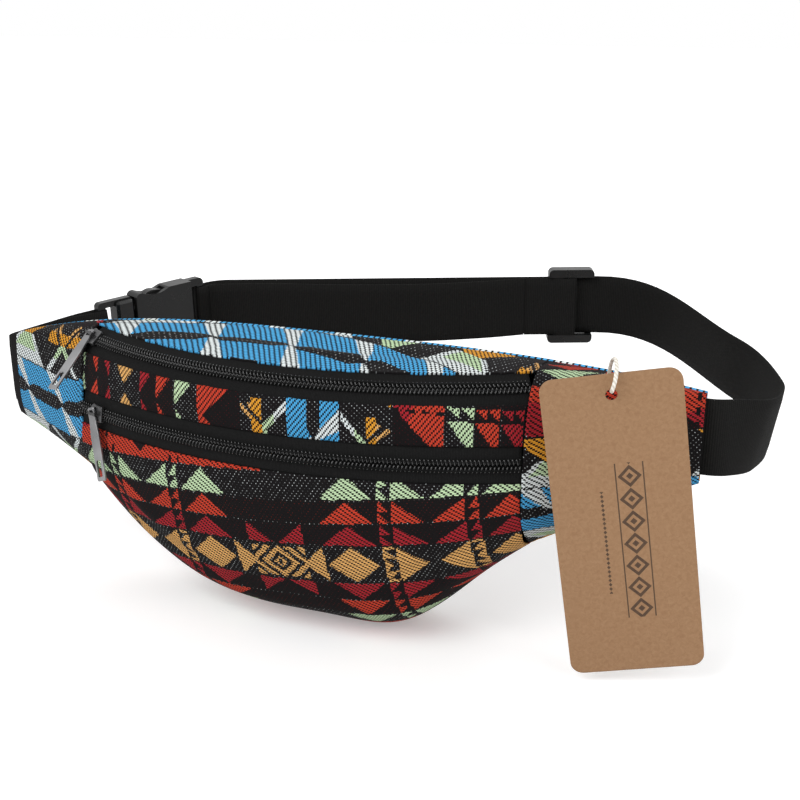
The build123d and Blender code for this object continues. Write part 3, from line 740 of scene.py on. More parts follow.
# %% [markdown]
# ## The weave effect
# Seen close, a float is a bundle of weft yarns with a short black tie about every three
# millimetres, and the ties step sideways from yarn to yarn, so they line up in slanting
# black dashes.  The ground is the reverse: black, with small bright pins.  Both are drawn
# from the same cloth coordinate in one shader group, which also gives the height for a
# bump, so each material only has to say which colours it uses and how its ties are spaced.

# %% Weave group
WEFT_PITCH = 0.8
PIN_ROW = 1.25
PIN_STEP = 0.95
PIN_PITCH = 2.35


def group_with(name, inputs, outputs):
    """A shader group with named inputs and outputs: pairs of a label and a socket type."""
    made = bpy.data.node_groups.new(name, "ShaderNodeTree")
    for side, pairs in (("INPUT", inputs), ("OUTPUT", outputs)):
        for label, kind in pairs:
            made.interface.new_socket(name=label, in_out=side, socket_type="NodeSocket" + kind)
    return made, add(made, "NodeGroupInput").outputs, add(made, "NodeGroupOutput")


# %% Pins of the ground
def pins_of(tree, place, s, t):
    """Small bright spots in rows PIN_ROW apart that move back by PIN_STEP from row to row:
    a spot is where sqrt(a^2 + b^2) is small, a and b being the distances from the middle
    of a cell.  Broad noise makes them strong in one patch and faint in the next."""
    do = partial(maths, tree)
    row = do("FLOOR", do("DIVIDE", t, PIN_ROW))
    slide = do("MULTIPLY_ADD", row, PIN_STEP, s)
    up = do("MULTIPLY", off_middle(tree, t, PIN_ROW), PIN_ROW)
    along = do("MULTIPLY", off_middle(tree, slide, PIN_PITCH), PIN_PITCH)
    far = do("SQRT", do("ADD", do("POWER", up, 2.0), do("POWER", along, 2.0)))
    spot = ramp(tree, far, 0.14, 0.32, 1.0, 0.0)
    patch = ramp(tree, noise(tree, place, 34.0), 0.4, 0.7, 0.04, 0.7, kind="LINEAR")
    return do("MULTIPLY", spot, patch)


# %% The whole weave
def weave_group():
    """Jacquard weave.  row = floor(t / pitch); a tie sits where
    fract((s - row * step) / repeat) is within `Tie` of a half; each weft's ridge is
    sin(pi * fract(t / pitch)), and that ridge darkens the colour towards the gaps between
    wefts as painted shade.  Noise bends the wefts a little and varies the fibres' tone."""
    tree, source, sink = group_with(
        "jacquard_weave",
        [
            ("Place", "Vector"),
            ("Yarn", "Color"),
            ("Float", "Float"),
            ("Pins", "Color"),
            ("Repeat", "Float"),
            ("Step", "Float"),
            ("Tie", "Float"),
        ],
        [("Color", "Color"), ("Height", "Float"), ("Roughness", "Float")],
    )
    do = partial(maths, tree)
    place, floats, black = source["Place"], source["Float"], YARN["black"]
    s, t = in_millimetres(tree, place)
    t = do("ADD", t, do("MULTIPLY_ADD", noise(tree, place, 9.0), 0.9, -0.45))

    across = do("DIVIDE", t, WEFT_PITCH)
    row = do("FLOOR", across)
    slide = do("SUBTRACT", s, do("MULTIPLY", row, source["Step"]))
    from_tie = off_middle(tree, slide, source["Repeat"])
    tie_low = do("SUBTRACT", source["Tie"], 0.05)
    tie_high = do("ADD", source["Tie"], 0.05)
    clear = ramp(tree, from_tie, tie_low, tie_high)
    weft = ridge(tree, across)

    pin = pins_of(tree, place, s, t)
    tint = do("MULTIPLY_ADD", noise(tree, place, 160.0, detail=3.0), 0.5, 0.74)
    # Painted shade: the yarn's colour darkens towards the gaps between wefts, times a random tone
    # from the noise; lit holds the yarn with that painted shade.
    tone_and_painted_shade = do("MULTIPLY", tint, do("MULTIPLY_ADD", weft, 0.52, 0.52))
    lit = add(tree, "ShaderNodeVectorMath", {0: source["Yarn"], "Scale": tone_and_painted_shade}, operation="SCALE")
    covered = do("MULTIPLY", clear, floats)
    under = mixed(tree, floats, mixed(tree, pin, black, source["Pins"]), black)

    lift = do("MULTIPLY", covered, do("MULTIPLY_ADD", weft, 0.6, 0.4))
    lift = do("MAXIMUM", lift, do("MULTIPLY", pin, 0.7))
    results = {
        "Color": mixed(tree, covered, under, lit.outputs[0]),
        "Height": do("MAXIMUM", lift, do("MULTIPLY", weft, 0.2)),
        "Roughness": do("MULTIPLY_ADD", covered, -0.12, 0.92),
    }
    feed(tree, sink, results)
    return tree


WEAVE = weave_group()


# %% Two cuts of the cloth
def blanket_material(name, repeat, step, tie):
    """The woven cloth, coloured by the panel's own yarn and pin attributes.  The ties lie
    `repeat` millimetres apart and move on by `step` from one weft to the next; `tie` is
    half a tie's share of that repeat."""
    made, tree, shader = new_material(name)
    yarn = add(tree, "ShaderNodeVertexColor", layer_name="yarn").outputs
    pins = add(tree, "ShaderNodeVertexColor", layer_name="pins").outputs
    inputs = {
        "Place": cloth_map(tree),
        "Yarn": yarn["Color"],
        "Float": yarn["Alpha"],
        "Pins": pins["Color"],
        "Repeat": repeat,
        "Step": step,
        "Tie": tie,
    }
    weave = add(tree, "ShaderNodeGroup", node_tree=WEAVE)
    feed(tree, weave, inputs)
    cloth = weave.outputs
    surface = {
        "Base Color": cloth["Color"],
        "Roughness": cloth["Roughness"],
        "Specular IOR Level": 0.1,
    }
    feed(tree, shader, surface)
    bumped(tree, shader, cloth["Height"], strength=0.55, depth=0.35)
    return made


blanket_weave = blanket_material("blanket_weave", repeat=3.1, step=1.04, tie=0.17)
blanket_drawn = blanket_material("blanket_drawn", repeat=2.6, step=0.9, tie=0.17)

# %% [markdown]
# ## The woven panels
# Each panel is its own piece of cloth, cut so that the rows run along the pack, except the
# band between the zips, which is cut with the rows running up and down.  On the pocket the
# rows rise a little to the right.  The cloth is soft, so every panel gets folds: long low
# ridges that fade towards its sewn edges, where the zips hold it still.

# %% Panel sizes (mm)
CELL = 0.9
CLOTH = 1.2
PUCKER = 0.25
PUCKER_LENGTH = 9.0
STITCH_IN = 3.2
STITCH_DEPTH = 0.8
BINDING = 6.5
ROW_SLANT = np.radians(5.0)
FRONT = (-SEAM_X + SEAM_GAP, SEAM_X - SEAM_GAP)


def fades(distance, width):
    """0 at an edge, towards 1 inside: 1 - exp(-distance / width)."""
    return 1 - np.exp(-distance / width)


def folds(s, t, ridges):
    """Sum of ridges, each height * exp(-(a / length)^2 - (b / width)^2), where a and b
    are the distances along and across a ridge at (s0, t0) turned by an angle."""
    total = np.zeros(s.shape)
    for s0, t0, angle, length, width, height in ridges:
        c, d = np.cos(np.radians(angle)), np.sin(np.radians(angle))
        a = (s - s0) * c + (t - t0) * d
        b = (t - t0) * c - (s - s0) * d
        total += height * np.exp(-((a / length) ** 2) - (b / width) ** 2)
    return total


def puckers(s, from_edge):
    """The small uneven gathers along a sewn edge: a sine of s whose phase drifts, which
    starts just inside the edge and dies away in a few millimetres."""
    wave = np.sin(s * 2 * np.pi / PUCKER_LENGTH + np.sin(s * 0.13) * 2)
    return PUCKER * wave * np.exp(-from_edge / 4.0) * fades(from_edge, 1.2)


# %% Making a panel
def panel(name, section, ends, node, cloth_of, ridges, edge_fall=9.0, thick=CLOTH, stitched=False):
    """A woven panel from ends[0] to ends[1] along X, lifted along its normals by its folds.
    s is the distance along it from its place nearest the pack's middle, and t the distance
    down each section.  Towards every sewn edge the lift fades as 1 - exp(-distance /
    edge_fall).  A stitched panel has a row of stitches STITCH_IN from its pouch end, which
    pulls down a narrow valley."""
    low, high = ends
    columns = int(abs(high - low) / CELL) + 1
    x = np.linspace(low, high, columns)
    lines = section(x)
    longest = smooth_lines(lines, 2)[1].max()
    count = int(longest / CELL) + 2
    even, lengths = smooth_lines(lines, count)
    points = np.concatenate([np.broadcast_to(x, (count, columns))[..., None], even], axis=-1)
    t = np.linspace(0, 1, count)[:, None] * lengths[None, :]
    s = length_along(points[0])
    s = s - s[np.argmin(np.abs(x - np.clip(0, min(ends), max(ends))))]
    s = np.broadcast_to(s, t.shape)
    from_side = np.minimum(np.abs(x - low), np.abs(high - x))[None, :]
    from_edge = np.minimum(t, lengths[None, :] - t)
    held = fades(from_edge, edge_fall) * fades(from_side, edge_fall)
    lift = folds(s, t, ridges) * held + puckers(s, from_edge)
    from_stitch = np.abs(np.abs(x) - SEAM_X - STITCH_IN)[None, :] + 0 * t
    if stitched:
        lift = lift - STITCH_DEPTH * np.exp(-((from_stitch / CELL) ** 2)) * held
    cloth = np.stack(cloth_of(s, t, points), axis=-1)
    points = points + normals_of(points) * lift[..., None]
    made, quads = grid_object(name, points, cloth)
    sewn = stitched & (from_stitch.reshape(-1)[quads].mean(axis=1) < CELL / 2)
    sewn |= points[..., 0].reshape(-1)[quads].mean(axis=1) < BINDING - TIP_X
    dye(made, quads, cloth, sewn)
    made.data.materials.append(blanket_weave)
    wall = made.modifiers.new("wall", "SOLIDIFY")
    wall.thickness = thick * MM
    wall.offset = -1
    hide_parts(node)
    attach(made, "pouch")
    print(name, len(quads), "faces, longest section", round(float(lengths.max()), 1), "mm")
    return made


# %% How each panel is cut from the cloth
def turned(s, t, angle, u0, v0):
    """Cloth coordinates of a panel turned by `angle`: u along the rows, v across them."""
    c, d = np.cos(angle), np.sin(angle)
    return u0 + s * c - t * d, v0 + s * d + t * c


def pocket_cloth(s, t, points):
    """The tan row lies 48.7 below the zip, and rises to the right by ROW_SLANT."""
    return turned(s, t, ROW_SLANT, -2.2, -48.7)


def band_cloth(s, t, points):
    """The rows run up and down here, so s takes v's place and t takes u's."""
    return 66.5 + (s + 100) * -0.076 + t, -(s + 85.0)


def top_cloth(s, t, points):
    """The blue row's middle lies 27 + 0.0033 (s + 28)^2 from the back edge, because the
    domed panel is pulled forward at its ends; across the dome the cloth is drawn out."""
    return s * 0.87 - 34.5, HALF_ROW + (t - 27.0 - 0.0033 * (s + 28.0) ** 2) * 0.45


def below_level(t, points, level):
    """Distance down each section line from the first place that lies under a level."""
    first = np.argmax(points[..., 2] < level, axis=0)
    return t - np.take_along_axis(t, first[None, :], axis=0)


# %% The wings and the back
def right_cloth(s, t, points):
    """The rows lie level, with the mustard row at the height of the belt's middle."""
    return 24.0 + s, 82.3 + below_level(t, points, 0.0)


def left_cloth(s, t, points):
    """The blue row's middle lies 10 below the belt's middle, and lifts a little towards
    the seam, where the stitching draws it up."""
    return 96.0 + s, HALF_ROW + 0.8 * below_level(t, points, -10.0) + 4.0 * np.exp(s / 12.0)


def back_cloth(s, t, points):
    """The rows run straight along the back, the blue one near its top."""
    return turned(s, t, 0.0, 0.0, 98.0)


def plain_cloth(s, t, points):
    """Millimetres along and down the panel, for cloth with no rows."""
    return s, t


# %% The panels; ridges are (s0, t0, angle, length, width, height)
panel(
    "pocket_front",
    pocket_line,
    FRONT,
    "pocket_panel",
    pocket_cloth,
    [
        (-70, 40, 28, 46, 5, 1.0),
        (-40, 62, 14, 60, 7, -0.9),
        (20, 30, -6, 70, 9, 0.8),
        (66, 48, -24, 44, 6, -0.9),
        (84, 34, -30, 34, 5, 0.9),
        (0, 80, 0, 80, 9, 0.9),
        (-92, 30, 48, 26, 4, -0.8),
    ],
)
panel(
    "front_band_cloth",
    band_line,
    FRONT,
    "front_band",
    band_cloth,
    [(-60, 9, 4, 40, 5, 0.4), (30, 10, -3, 50, 5, -0.4)],
    edge_fall=4.0,
)
top = panel(
    "top_cloth",
    top_line,
    FRONT,
    "top_panel",
    top_cloth,
    [
        (-30, 20, 4, 60, 9, -2.2),
        (50, 22, -5, 46, 8, -1.6),
        (-80, 14, 12, 24, 6, 1.0),
        (10, 34, 2, 50, 7, 1.2),
    ],
)
top.data.materials[0] = blanket_drawn
panel(
    "right_wing_cloth",
    wing_line,
    (SEAM_X, TIP_X),
    "wing_right",
    right_cloth,
    [(30, 50, 12, 40, 8, 1.0), (20, 80, -20, 34, 7, -0.9)],
    stitched=True,
)
panel(
    "left_wing_cloth",
    wing_line,
    (-TIP_X, -SEAM_X),
    "wing_left",
    left_cloth,
    [(30, 50, -12, 40, 8, 1.0), (50, 84, 24, 34, 7, -0.9), (60, 30, 40, 20, 5, 0.8)],
    stitched=True,
)

# %% The back and the pocket's lining
back = panel(
    "back_cloth",
    back_line,
    (TIP_X, -TIP_X),
    "back_panel",
    back_cloth,
    [(0, 30, 0, 120, 3, -0.5), (0, 62, 0, 110, 3, -0.5)],
    thick=2.6,
)
lining = panel(
    "pocket_lining",
    divider_line,
    FRONT,
    "pocket_divider",
    plain_cloth,
    [(-40, 50, 20, 40, 9, 0.8), (50, 60, -20, 40, 9, 0.8)],
    thick=0.8,
)

# %% [markdown]
# ## Belt, tapes and other flat bands
# Webbing is a flat band whose two edges follow the belt's way.  One surface does for the
# belt, for the zip tapes and for the sewn ends: a thin oval section is carried between a
# low edge and a high edge, so the band may lean and twist but keeps its width.  The UV map
# holds millimetres along and across the band, where its ribs are drawn.


# %% Band between two edges
def closed_piece(name, points, material, cloth=None):
    """A tube of quads whose rows go round the section, closed by flat ends.
    An end joins each ring point i to its mirror point n - 1 - i."""
    made, _ = grid_object(name, points, cloth, wrap=True)
    mesh = bmesh.new()
    mesh.from_mesh(made.data)
    mesh.verts.ensure_lookup_table()
    rows, columns = points.shape[:2]
    for column in (0, columns - 1):
        ring = [mesh.verts[row * columns + column] for row in range(rows)]
        for i in range(rows // 2 - 1):
            mesh.faces.new((ring[i], ring[i + 1], ring[rows - 2 - i], ring[rows - 1 - i]))
    bmesh.ops.recalc_face_normals(mesh, faces=mesh.faces)
    mesh.to_mesh(made.data)
    mesh.free()
    made.data.shade_smooth()
    made.data.materials.append(material)
    return made


def strap(name, low, high, material, thickness):
    """Point = low + (high - low) * a + normal * b.  a runs 0 to 1 on the front and back to 0
    behind; b is half the thickness, and 0.45 of that at the two edges."""
    middle = (low + high) / 2
    normal = unit(np.cross(np.gradient(middle, axis=0), high - low))
    a = np.linspace(0, 1, 8) ** 0.9
    a = (a + 1 - a[::-1]) / 2
    b = thickness / 2 * np.where((a == 0) | (a == 1), 0.45, 1.0)
    a, b = np.concatenate([a, a[::-1]]), np.concatenate([b, -b[::-1]])
    points = low + (high - low) * a[:, None, None] + normal * b[:, None, None]
    length = np.broadcast_to(length_along(middle), points.shape[:2])
    width = np.linalg.norm(high - low, axis=1)
    cloth = np.stack([length, a[:, None] * width], axis=-1)
    return closed_piece(name, points, material, cloth=cloth)


# %% [markdown]
# ## Ribbed webbing
# Belt webbing is woven with thick weft yarns, so it shows upright ribs across the width a
# little over a millimetre apart, each broken up by the fine warp that passes over it.  One
# shader group draws both from the band's own map; tapes and webbing give it other pitches.


# %% Rib group
def rib_group():
    """Height of a ribbed narrow weave: 0.75 sin(pi fract(u / pitch)) for the ribs, and
    0.25 of a finer sine for warp yarns that shift by half a step from rib to rib.  The colour
    goes from Dark to Light with that height, times grain noise: painted shade in the grooves."""
    tree, source, sink = group_with(
        "narrow_weave",
        [
            ("Place", "Vector"),
            ("Pitch", "Float"),
            ("Warp", "Float"),
            ("Dark", "Color"),
            ("Light", "Color"),
        ],
        [("Color", "Color"), ("Height", "Float")],
    )
    do = partial(maths, tree)
    u, v = in_millimetres(tree, source["Place"])
    cell = do("DIVIDE", u, source["Pitch"])
    rib = ridge(tree, cell)
    shift = do("MULTIPLY", do("FLOOR", cell), 0.5)
    lane = do("ADD", do("DIVIDE", v, source["Warp"]), shift)
    warp = ridge(tree, lane)
    height = do("MULTIPLY_ADD", rib, 0.75, do("MULTIPLY", warp, 0.25))
    grain = noise(tree, source["Place"], 60.0, detail=4.0)
    # Painted shade: Dark in the rib grooves and Light on the rib tops, broken by a random tone from
    # the grain.
    tone_and_painted_shade = do("MULTIPLY", height, do("MULTIPLY_ADD", grain, 0.9, 0.5))
    colour = mixed(tree, tone_and_painted_shade, source["Dark"], source["Light"])
    feed(tree, sink, {"Color": colour, "Height": height})
    return tree


NARROW_WEAVE = rib_group()


# %% Webbing, tape and lining
def band_material(name, pitch, warp, dark, light, rough, depth):
    """A narrow woven band: rib and warp pitch in millimetres, rib depth for its bump; `dark` is
    the painted shade in the rib grooves and `light` the rib tops painted lighter.
    """
    made, tree, shader = new_material(name)
    inputs = {"Place": cloth_map(tree), "Pitch": pitch, "Warp": warp, "Dark": dark, "Light": light}
    weave = add(tree, "ShaderNodeGroup", node_tree=NARROW_WEAVE)
    feed(tree, weave, inputs)
    colour = weave.outputs["Color"]
    feed(tree, shader, {"Base Color": colour, "Roughness": rough, "Specular IOR Level": 0.1})
    bumped(tree, shader, weave.outputs["Height"], strength=0.6, depth=depth)
    return made


# Each band's first grey is its painted shade in the rib grooves, and the second its rib tops painted
# lighter.
WEBBING_LIGHT = (0.012, 0.0116, 0.011, 1)
webbing_black = band_material("webbing_black", 1.15, 0.9, grey(0.003), WEBBING_LIGHT, 0.85, 0.22)
tape_black = band_material("tape_black", 0.7, 0.7, grey(0.003), grey(0.011), 0.9, 0.12)
lining_black = band_material("lining_black", 0.5, 0.5, grey(0.004), grey(0.018), 0.7, 0.06)
lining.data.materials[0] = lining_black

# %% [markdown]
# ## The belt's way
# In plan the belt is straight runs joined by arcs, wrapped round the bars of the buckle and
# the adjuster.  The buckle and the run behind rise two degrees away from the pouch, because
# the wearer's side stands a little higher.  Between a wing and that tilted group the band
# is free and twists, so its two edges follow their own smooth curves.

# %% Belt sizes (mm, degrees)
WEB_WIDTH = 38.0
WEB = 1.3
BELT_TILT = np.radians(2.0)
BUCKLE_PLACE = (-166.0, 40.0)
BUCKLE_TURN = 65.0
BUCKLE_LENGTH = 76.0
BUCKLE_TO_RUN = 14.0
RUN_TURN = 19.7
WEB_PITCH = 3.25
MALE_TURN = 5.45
FEMALE_TURN = BUCKLE_LENGTH - MALE_TURN
GLIDE_PLACE = 229.0
GLIDE_BAR = 2.95
HEM_LENGTH = 30.0
HEM_NEAR = -1.6
HEM_FAR = HEM_NEAR - 4.1
RETURN_SIDE = HEM_NEAR - 1.6
RETURN_START = BUCKLE_LENGTH + 3.2
TUCK_Y = -3.85


# %% Plan paths
ARC_POINTS = 9
SPAN_STEPS = 14
SPACING = 4.0


def in_plan(origin, angle):
    """Takes local plan coordinates to the pack's: turned by `angle` and moved to origin."""
    c, s = np.cos(np.radians(angle)), np.sin(np.radians(angle))
    return lambda x, y: (origin[0] + x * c - y * s, origin[1] + x * s + y * c)


buckle_at = in_plan(BUCKLE_PLACE, BUCKLE_TURN)
run_at = in_plan(buckle_at(BUCKLE_LENGTH + BUCKLE_TO_RUN, WEB_PITCH), RUN_TURN)


def rounded(corners, tight=None):
    """Straight runs joined by arcs.  An arc starts radius * tan(half the turn) before its
    corner; the radius is set in `tight`, or fills 0.45 of the shorter run.  The path has
    a point at least every SPACING."""
    corners = np.array(corners, float)
    pieces = [corners[:1]]
    for i in range(1, len(corners) - 1):
        before, after = corners[i] - corners[i - 1], corners[i + 1] - corners[i]
        runs = np.linalg.norm(before), np.linalg.norm(after)
        before, after = before / runs[0], after / runs[1]
        turn = np.arctan2(before[0] * after[1] - before[1] * after[0], before @ after)
        reach = 0.45 * min(runs)
        radius = reach / np.tan(abs(turn) / 2)
        if tight and i - 1 in tight:
            radius = tight[i - 1]
            reach = radius * np.tan(abs(turn) / 2)
        side = np.array([-before[1], before[0]]) * np.sign(turn)
        angle = np.linspace(0, abs(turn), ARC_POINTS)[:, None]
        start = corners[i] - before * reach
        sidewards = side * radius * (1 - np.cos(angle))
        pieces.append(start + sidewards + before * radius * np.sin(angle))
    pieces.append(corners[-1:])
    path = np.concatenate(pieces)
    length = length_along(path)
    finer = np.concatenate([length, np.arange(0, length[-1], SPACING)])
    finer = np.unique(np.round(finer, 3))
    return np.stack([np.interp(finer, length, path[:, k]) for k in (0, 1)], axis=1)


# %% Tilt and edges
def tilted(points):
    """Points turned about the X axis by the belt's tilt."""
    c, s = np.cos(BELT_TILT), np.sin(BELT_TILT)
    x, y, z = np.moveaxis(points, -1, 0)
    return np.stack([x, y * c - z * s, y * s + z * c], axis=-1)


def edges_along(path):
    """Low and high edge of tilted webbing that stands on a plan path."""
    height = np.full((len(path), 1), WEB_WIDTH / 2)
    return [tilted(np.concatenate([path, side * height], axis=1)) for side in (-1, 1)]


# %% The free stretches
def free_edges(side, tuck_z, stations, far, direction):
    """Low and high edge from inside a wing to the tilted group.  A station is a middle
    point (x, y, z) and the (x, y) by which the high edge leans over the low one.  Between
    two stations runs the cubic that heads, at each, from the one before to the one after."""
    tuck = [(side * (TIP_X - 12.0), TUCK_Y, tuck_z, 0.0, 0.0)]
    tuck += [(side * (TIP_X + 2.0), TUCK_Y, tuck_z, 0.0, 0.0)]
    placed = np.array(tuck + stations)
    middles, lean = placed[:, :3], placed[:, 3:]
    rise = np.sqrt(WEB_WIDTH**2 - (lean**2).sum(axis=1, keepdims=True))
    half = np.concatenate([lean, rise], axis=1) / 2
    foot, head = edges_along(np.array([far]))
    heading = np.radians(direction)
    last = tilted(np.array([[np.cos(heading), np.sin(heading), 0.0]]))
    outwards = [[side, 0, 0]]
    curves = []
    t = np.linspace(0, 1, SPAN_STEPS, endpoint=False)[:, None]
    for points in (np.concatenate([middles - half, foot]), np.concatenate([middles + half, head])):
        between = points[2:] - points[:-2]
        headings = unit(np.concatenate([outwards, outwards, between[1:], last]))
        spans = np.linalg.norm(np.diff(points, axis=0), axis=1)
        pieces = [
            cubic(t, a, p * span, b, q * span)
            for a, b, p, q, span in zip(points, points[1:], headings, headings[1:], spans)
        ]
        curves.append(np.concatenate(pieces))
    return curves


# %% A piece of webbing
def joined(first, second):
    """Two stretches of webbing, each a low and a high edge, end to end."""
    return [np.concatenate(pair) for pair in zip(first, second)]


def belt_piece(name, edges, node, body):
    """A webbing piece that stands for a CAD node and rides on a body."""
    made = strap(name, *edges, webbing_black, WEB)
    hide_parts(node)
    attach(made, body)
    print(name, len(made.data.polygons), "faces")
    return made


# %% The short webbing on the left
LEFT_STATIONS = [
    (-197.6, -0.6, -5.3, 0.0, 0.0),
    (-195.2, 6.5, -4.6, 0.0, 0.0),
    (-186.5, 18.5, -2.4, 0.0, 0.0),
]
left_start = buckle_at(-9.0, WEB_PITCH)
left_corners = [
    left_start,
    buckle_at(MALE_TURN, WEB_PITCH),
    buckle_at(MALE_TURN, -WEB_PITCH),
    buckle_at(-4.0, -WEB_PITCH),
    buckle_at(-24.0, WEB_PITCH - WEB - 0.3),
]
left_free = free_edges(-1, -5.5, LEFT_STATIONS, left_start, BUCKLE_TURN)
left_loop = edges_along(rounded(left_corners, {0: WEB, 1: WEB}))
belt_piece("webbing_left", joined(left_free, left_loop), "left_web", "pouch")

# %% The long webbing
RIGHT_STATIONS = [
    (204.5, 3.0, 2.5, 0.5, 1.5),
    (218.0, 25.0, -2.0, 7.4, 3.0),
    (221.0, 62.0, -4.0, 4.5, -2.0),
    (198.0, 118.0, 0.0, -2.0, -4.5),
]
run_start = run_at(GLIDE_PLACE + 17.0, 0)
main_corners = [
    run_start,
    run_at(0, 0),
    buckle_at(FEMALE_TURN, WEB_PITCH),
    buckle_at(FEMALE_TURN, 0),
]
right_free = free_edges(1, 4.0, RIGHT_STATIONS, run_start, RUN_TURN + 180.0)
main_loop = edges_along(rounded(main_corners, {1: WEB}))
belt_piece("webbing_belt", joined(right_free, main_loop), "belt_main", "pouch")

# %% [markdown]
# ## The doubled layer
# The layer that comes back from the buckle is a short loop round the bar, which stays, and
# the slack run, which bows loosely away from the belt.  Its end is sewn round the adjuster's
# middle bar, so that hem rides on the adjuster.

# %% Loop and slack run
loop_corners = [
    buckle_at(FEMALE_TURN, 0),
    buckle_at(FEMALE_TURN, -WEB_PITCH),
    buckle_at(BUCKLE_LENGTH + 3.0, -WEB_PITCH),
]
belt_piece("webbing_loop", edges_along(rounded(loop_corners, {0: WEB})), "belt_return", "pouch")
SLACK = [(0.17, -9.0), (0.42, -15.0), (0.70, -15.0), (0.89, -9.0)]
return_start = buckle_at(RETURN_START, -WEB_PITCH)
return_end = GLIDE_PLACE - HEM_LENGTH
return_corners = [
    return_start,
    buckle_at(BUCKLE_LENGTH + 6.0, -WEB_PITCH),
    *[run_at(share * return_end, droop) for share, droop in SLACK],
    run_at(return_end, RETURN_SIDE),
]
return_edges = edges_along(rounded(return_corners))
returning = belt_piece("webbing_return", return_edges, "belt_return", "pouch")
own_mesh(returning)

# %% The sewn hem
HEM = [
    (return_end + 0.3, RETURN_SIDE),
    (GLIDE_PLACE - 13.0, RETURN_SIDE),
    (GLIDE_PLACE - 4.5, HEM_FAR),
    (GLIDE_PLACE + GLIDE_BAR, HEM_FAR),
    (GLIDE_PLACE + GLIDE_BAR, HEM_NEAR),
    (return_end + 5.0, HEM_NEAR),
]
hem_path = rounded([run_at(x, y) for x, y in HEM], {2: WEB, 3: WEB})
belt_piece("webbing_hem", edges_along(hem_path), "belt_hem", "adjuster")

# %% [markdown]
# ## Zips
# A coil zip is two tapes, each with a nylon thread wound into a coil and sewn to its edge.
# The coils are real helices here: a round wire carried round an oval that moves along the
# arc, with only six sides and fourteen steps a turn, because there are hundreds of turns.

# %% Zip sizes (mm)
COIL_PITCH = 1.9
COIL_MIDDLE = 1.62
COIL_ACROSS = 1.3
COIL_RISE = 0.95
COIL_OUT = 0.57
WIRE = 0.38
COIL_END_GAP = 1.0
TURN_STEPS = 14
TAPE_INNER = 0.05
TAPE_TUCK = 0.9
SEWING_MIDDLE = 2.0
SEWING_RISE = 1.7
SEWING_DIP = 0.16
THREAD = (0.24, 0.55)
SEWING_STEPS = 6
THREAD_SIDES = 6
TAPE_POINTS = 121


# %% Tapes and coils
def tape(name, track, inner, outer, node):
    """A tape from the coil out to just under the panel's edge, where it lies lower."""
    s = np.linspace(-1, 1, TAPE_POINTS) * track.half_length()
    near = track.at_length(s, inner)
    far = track.at_length(s, outer + np.sign(outer) * TAPE_TUCK, -TAPE_TUCK)
    made = strap(name, near, far, tape_black, TAPE)
    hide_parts(node)
    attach(made, "pouch")


def coil_run(track):
    """Half the length of a coil, and its whole number of turns."""
    half = track.half_length() - COIL_END_GAP
    return half, int(2 * half / COIL_PITCH)


def thread(name, route, outwards, sideways, radii, material):
    """A thread along a route: route + outwards * r0 cos(a) + sideways * r1 sin(a)."""
    ring = np.linspace(0, 2 * np.pi, THREAD_SIDES, endpoint=False)[:, None, None]
    points = route + radii[0] * np.cos(ring) * outwards + radii[1] * np.sin(ring) * sideways
    return closed_piece(name, points, material)


# %% Coil strands and their sewing
def wound(name, track, middle, node, turn_sign):
    """A coil strand.  across = middle + COIL_ACROSS cos(theta) and out = rise + COIL_OUT
    sin(theta) while s moves on by one pitch a turn; the wire follows that line.  The two
    strands turn opposite ways and their inner loops lie half a turn apart, so the loops
    pass between each other."""
    half, turns = coil_run(track)
    theta = np.linspace(0, 2 * np.pi * turns, turns * TURN_STEPS + 1)
    s = np.linspace(-half, half, len(theta))
    rise = TAPE / 2 + COIL_RISE
    across = middle + COIL_ACROSS * np.cos(theta)
    route = track.at_length(s, across, rise + turn_sign * COIL_OUT * np.sin(theta))
    ahead = unit(np.gradient(route, axis=0))
    outwards = route - track.at_length(s, middle + 0 * s, rise + 0 * s)
    outwards -= ahead * (outwards * ahead).sum(axis=1, keepdims=True)
    outwards = unit(outwards)
    made = thread(name, route, outwards, np.cross(ahead, outwards), (WIRE, WIRE), coil_nylon)
    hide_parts(node)
    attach(made, "pouch")
    print(name, turns, "turns", len(made.data.polygons), "faces")


def sewing(name, track, middle):
    """The chain of stitches that holds a strand: a flat thread that dips by SEWING_DIP
    between the turns."""
    half, turns = coil_run(track)
    s = np.linspace(-half, half, turns * SEWING_STEPS + 1)
    dip = SEWING_DIP * np.cos(2 * np.pi * s / COIL_PITCH)
    route = track.at_length(s, middle + 0 * s, TAPE / 2 + SEWING_RISE + dip)
    outwards = track.at_length(s, middle + 0 * s, 1.0) - track.at_length(s, middle + 0 * s, 0.0)
    ahead = unit(np.gradient(route, axis=0))
    made = thread(name, route, outwards, np.cross(ahead, outwards), THREAD, thread_black)
    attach(made, "pouch")


# %% [markdown]
# ## Hard finishes
# Moulded nylon, enamel and plated steel all show the same two things close up: a fine
# grain, and soft broad marks where they were handled.  One shader group gives both, and
# each finish turns the marks into a small drift of colour and gloss.

# %% Grain group and hard materials
MARK_SCALE = 60.0


def grain_group():
    """Fine moulding grain and soft handling marks on Object coordinates."""
    outputs = [("Height", "Float"), ("Mark", "Float")]
    tree, source, sink = group_with("hard_grain", [("Scale", "Float")], outputs)
    place = object_place(tree)
    fine = noise(tree, place, source["Scale"], flat="3D")
    broad = noise(tree, place, MARK_SCALE, detail=5.0, flat="3D")
    feed(tree, sink, {"Height": fine, "Mark": broad})
    return tree


HARD_GRAIN = grain_group()


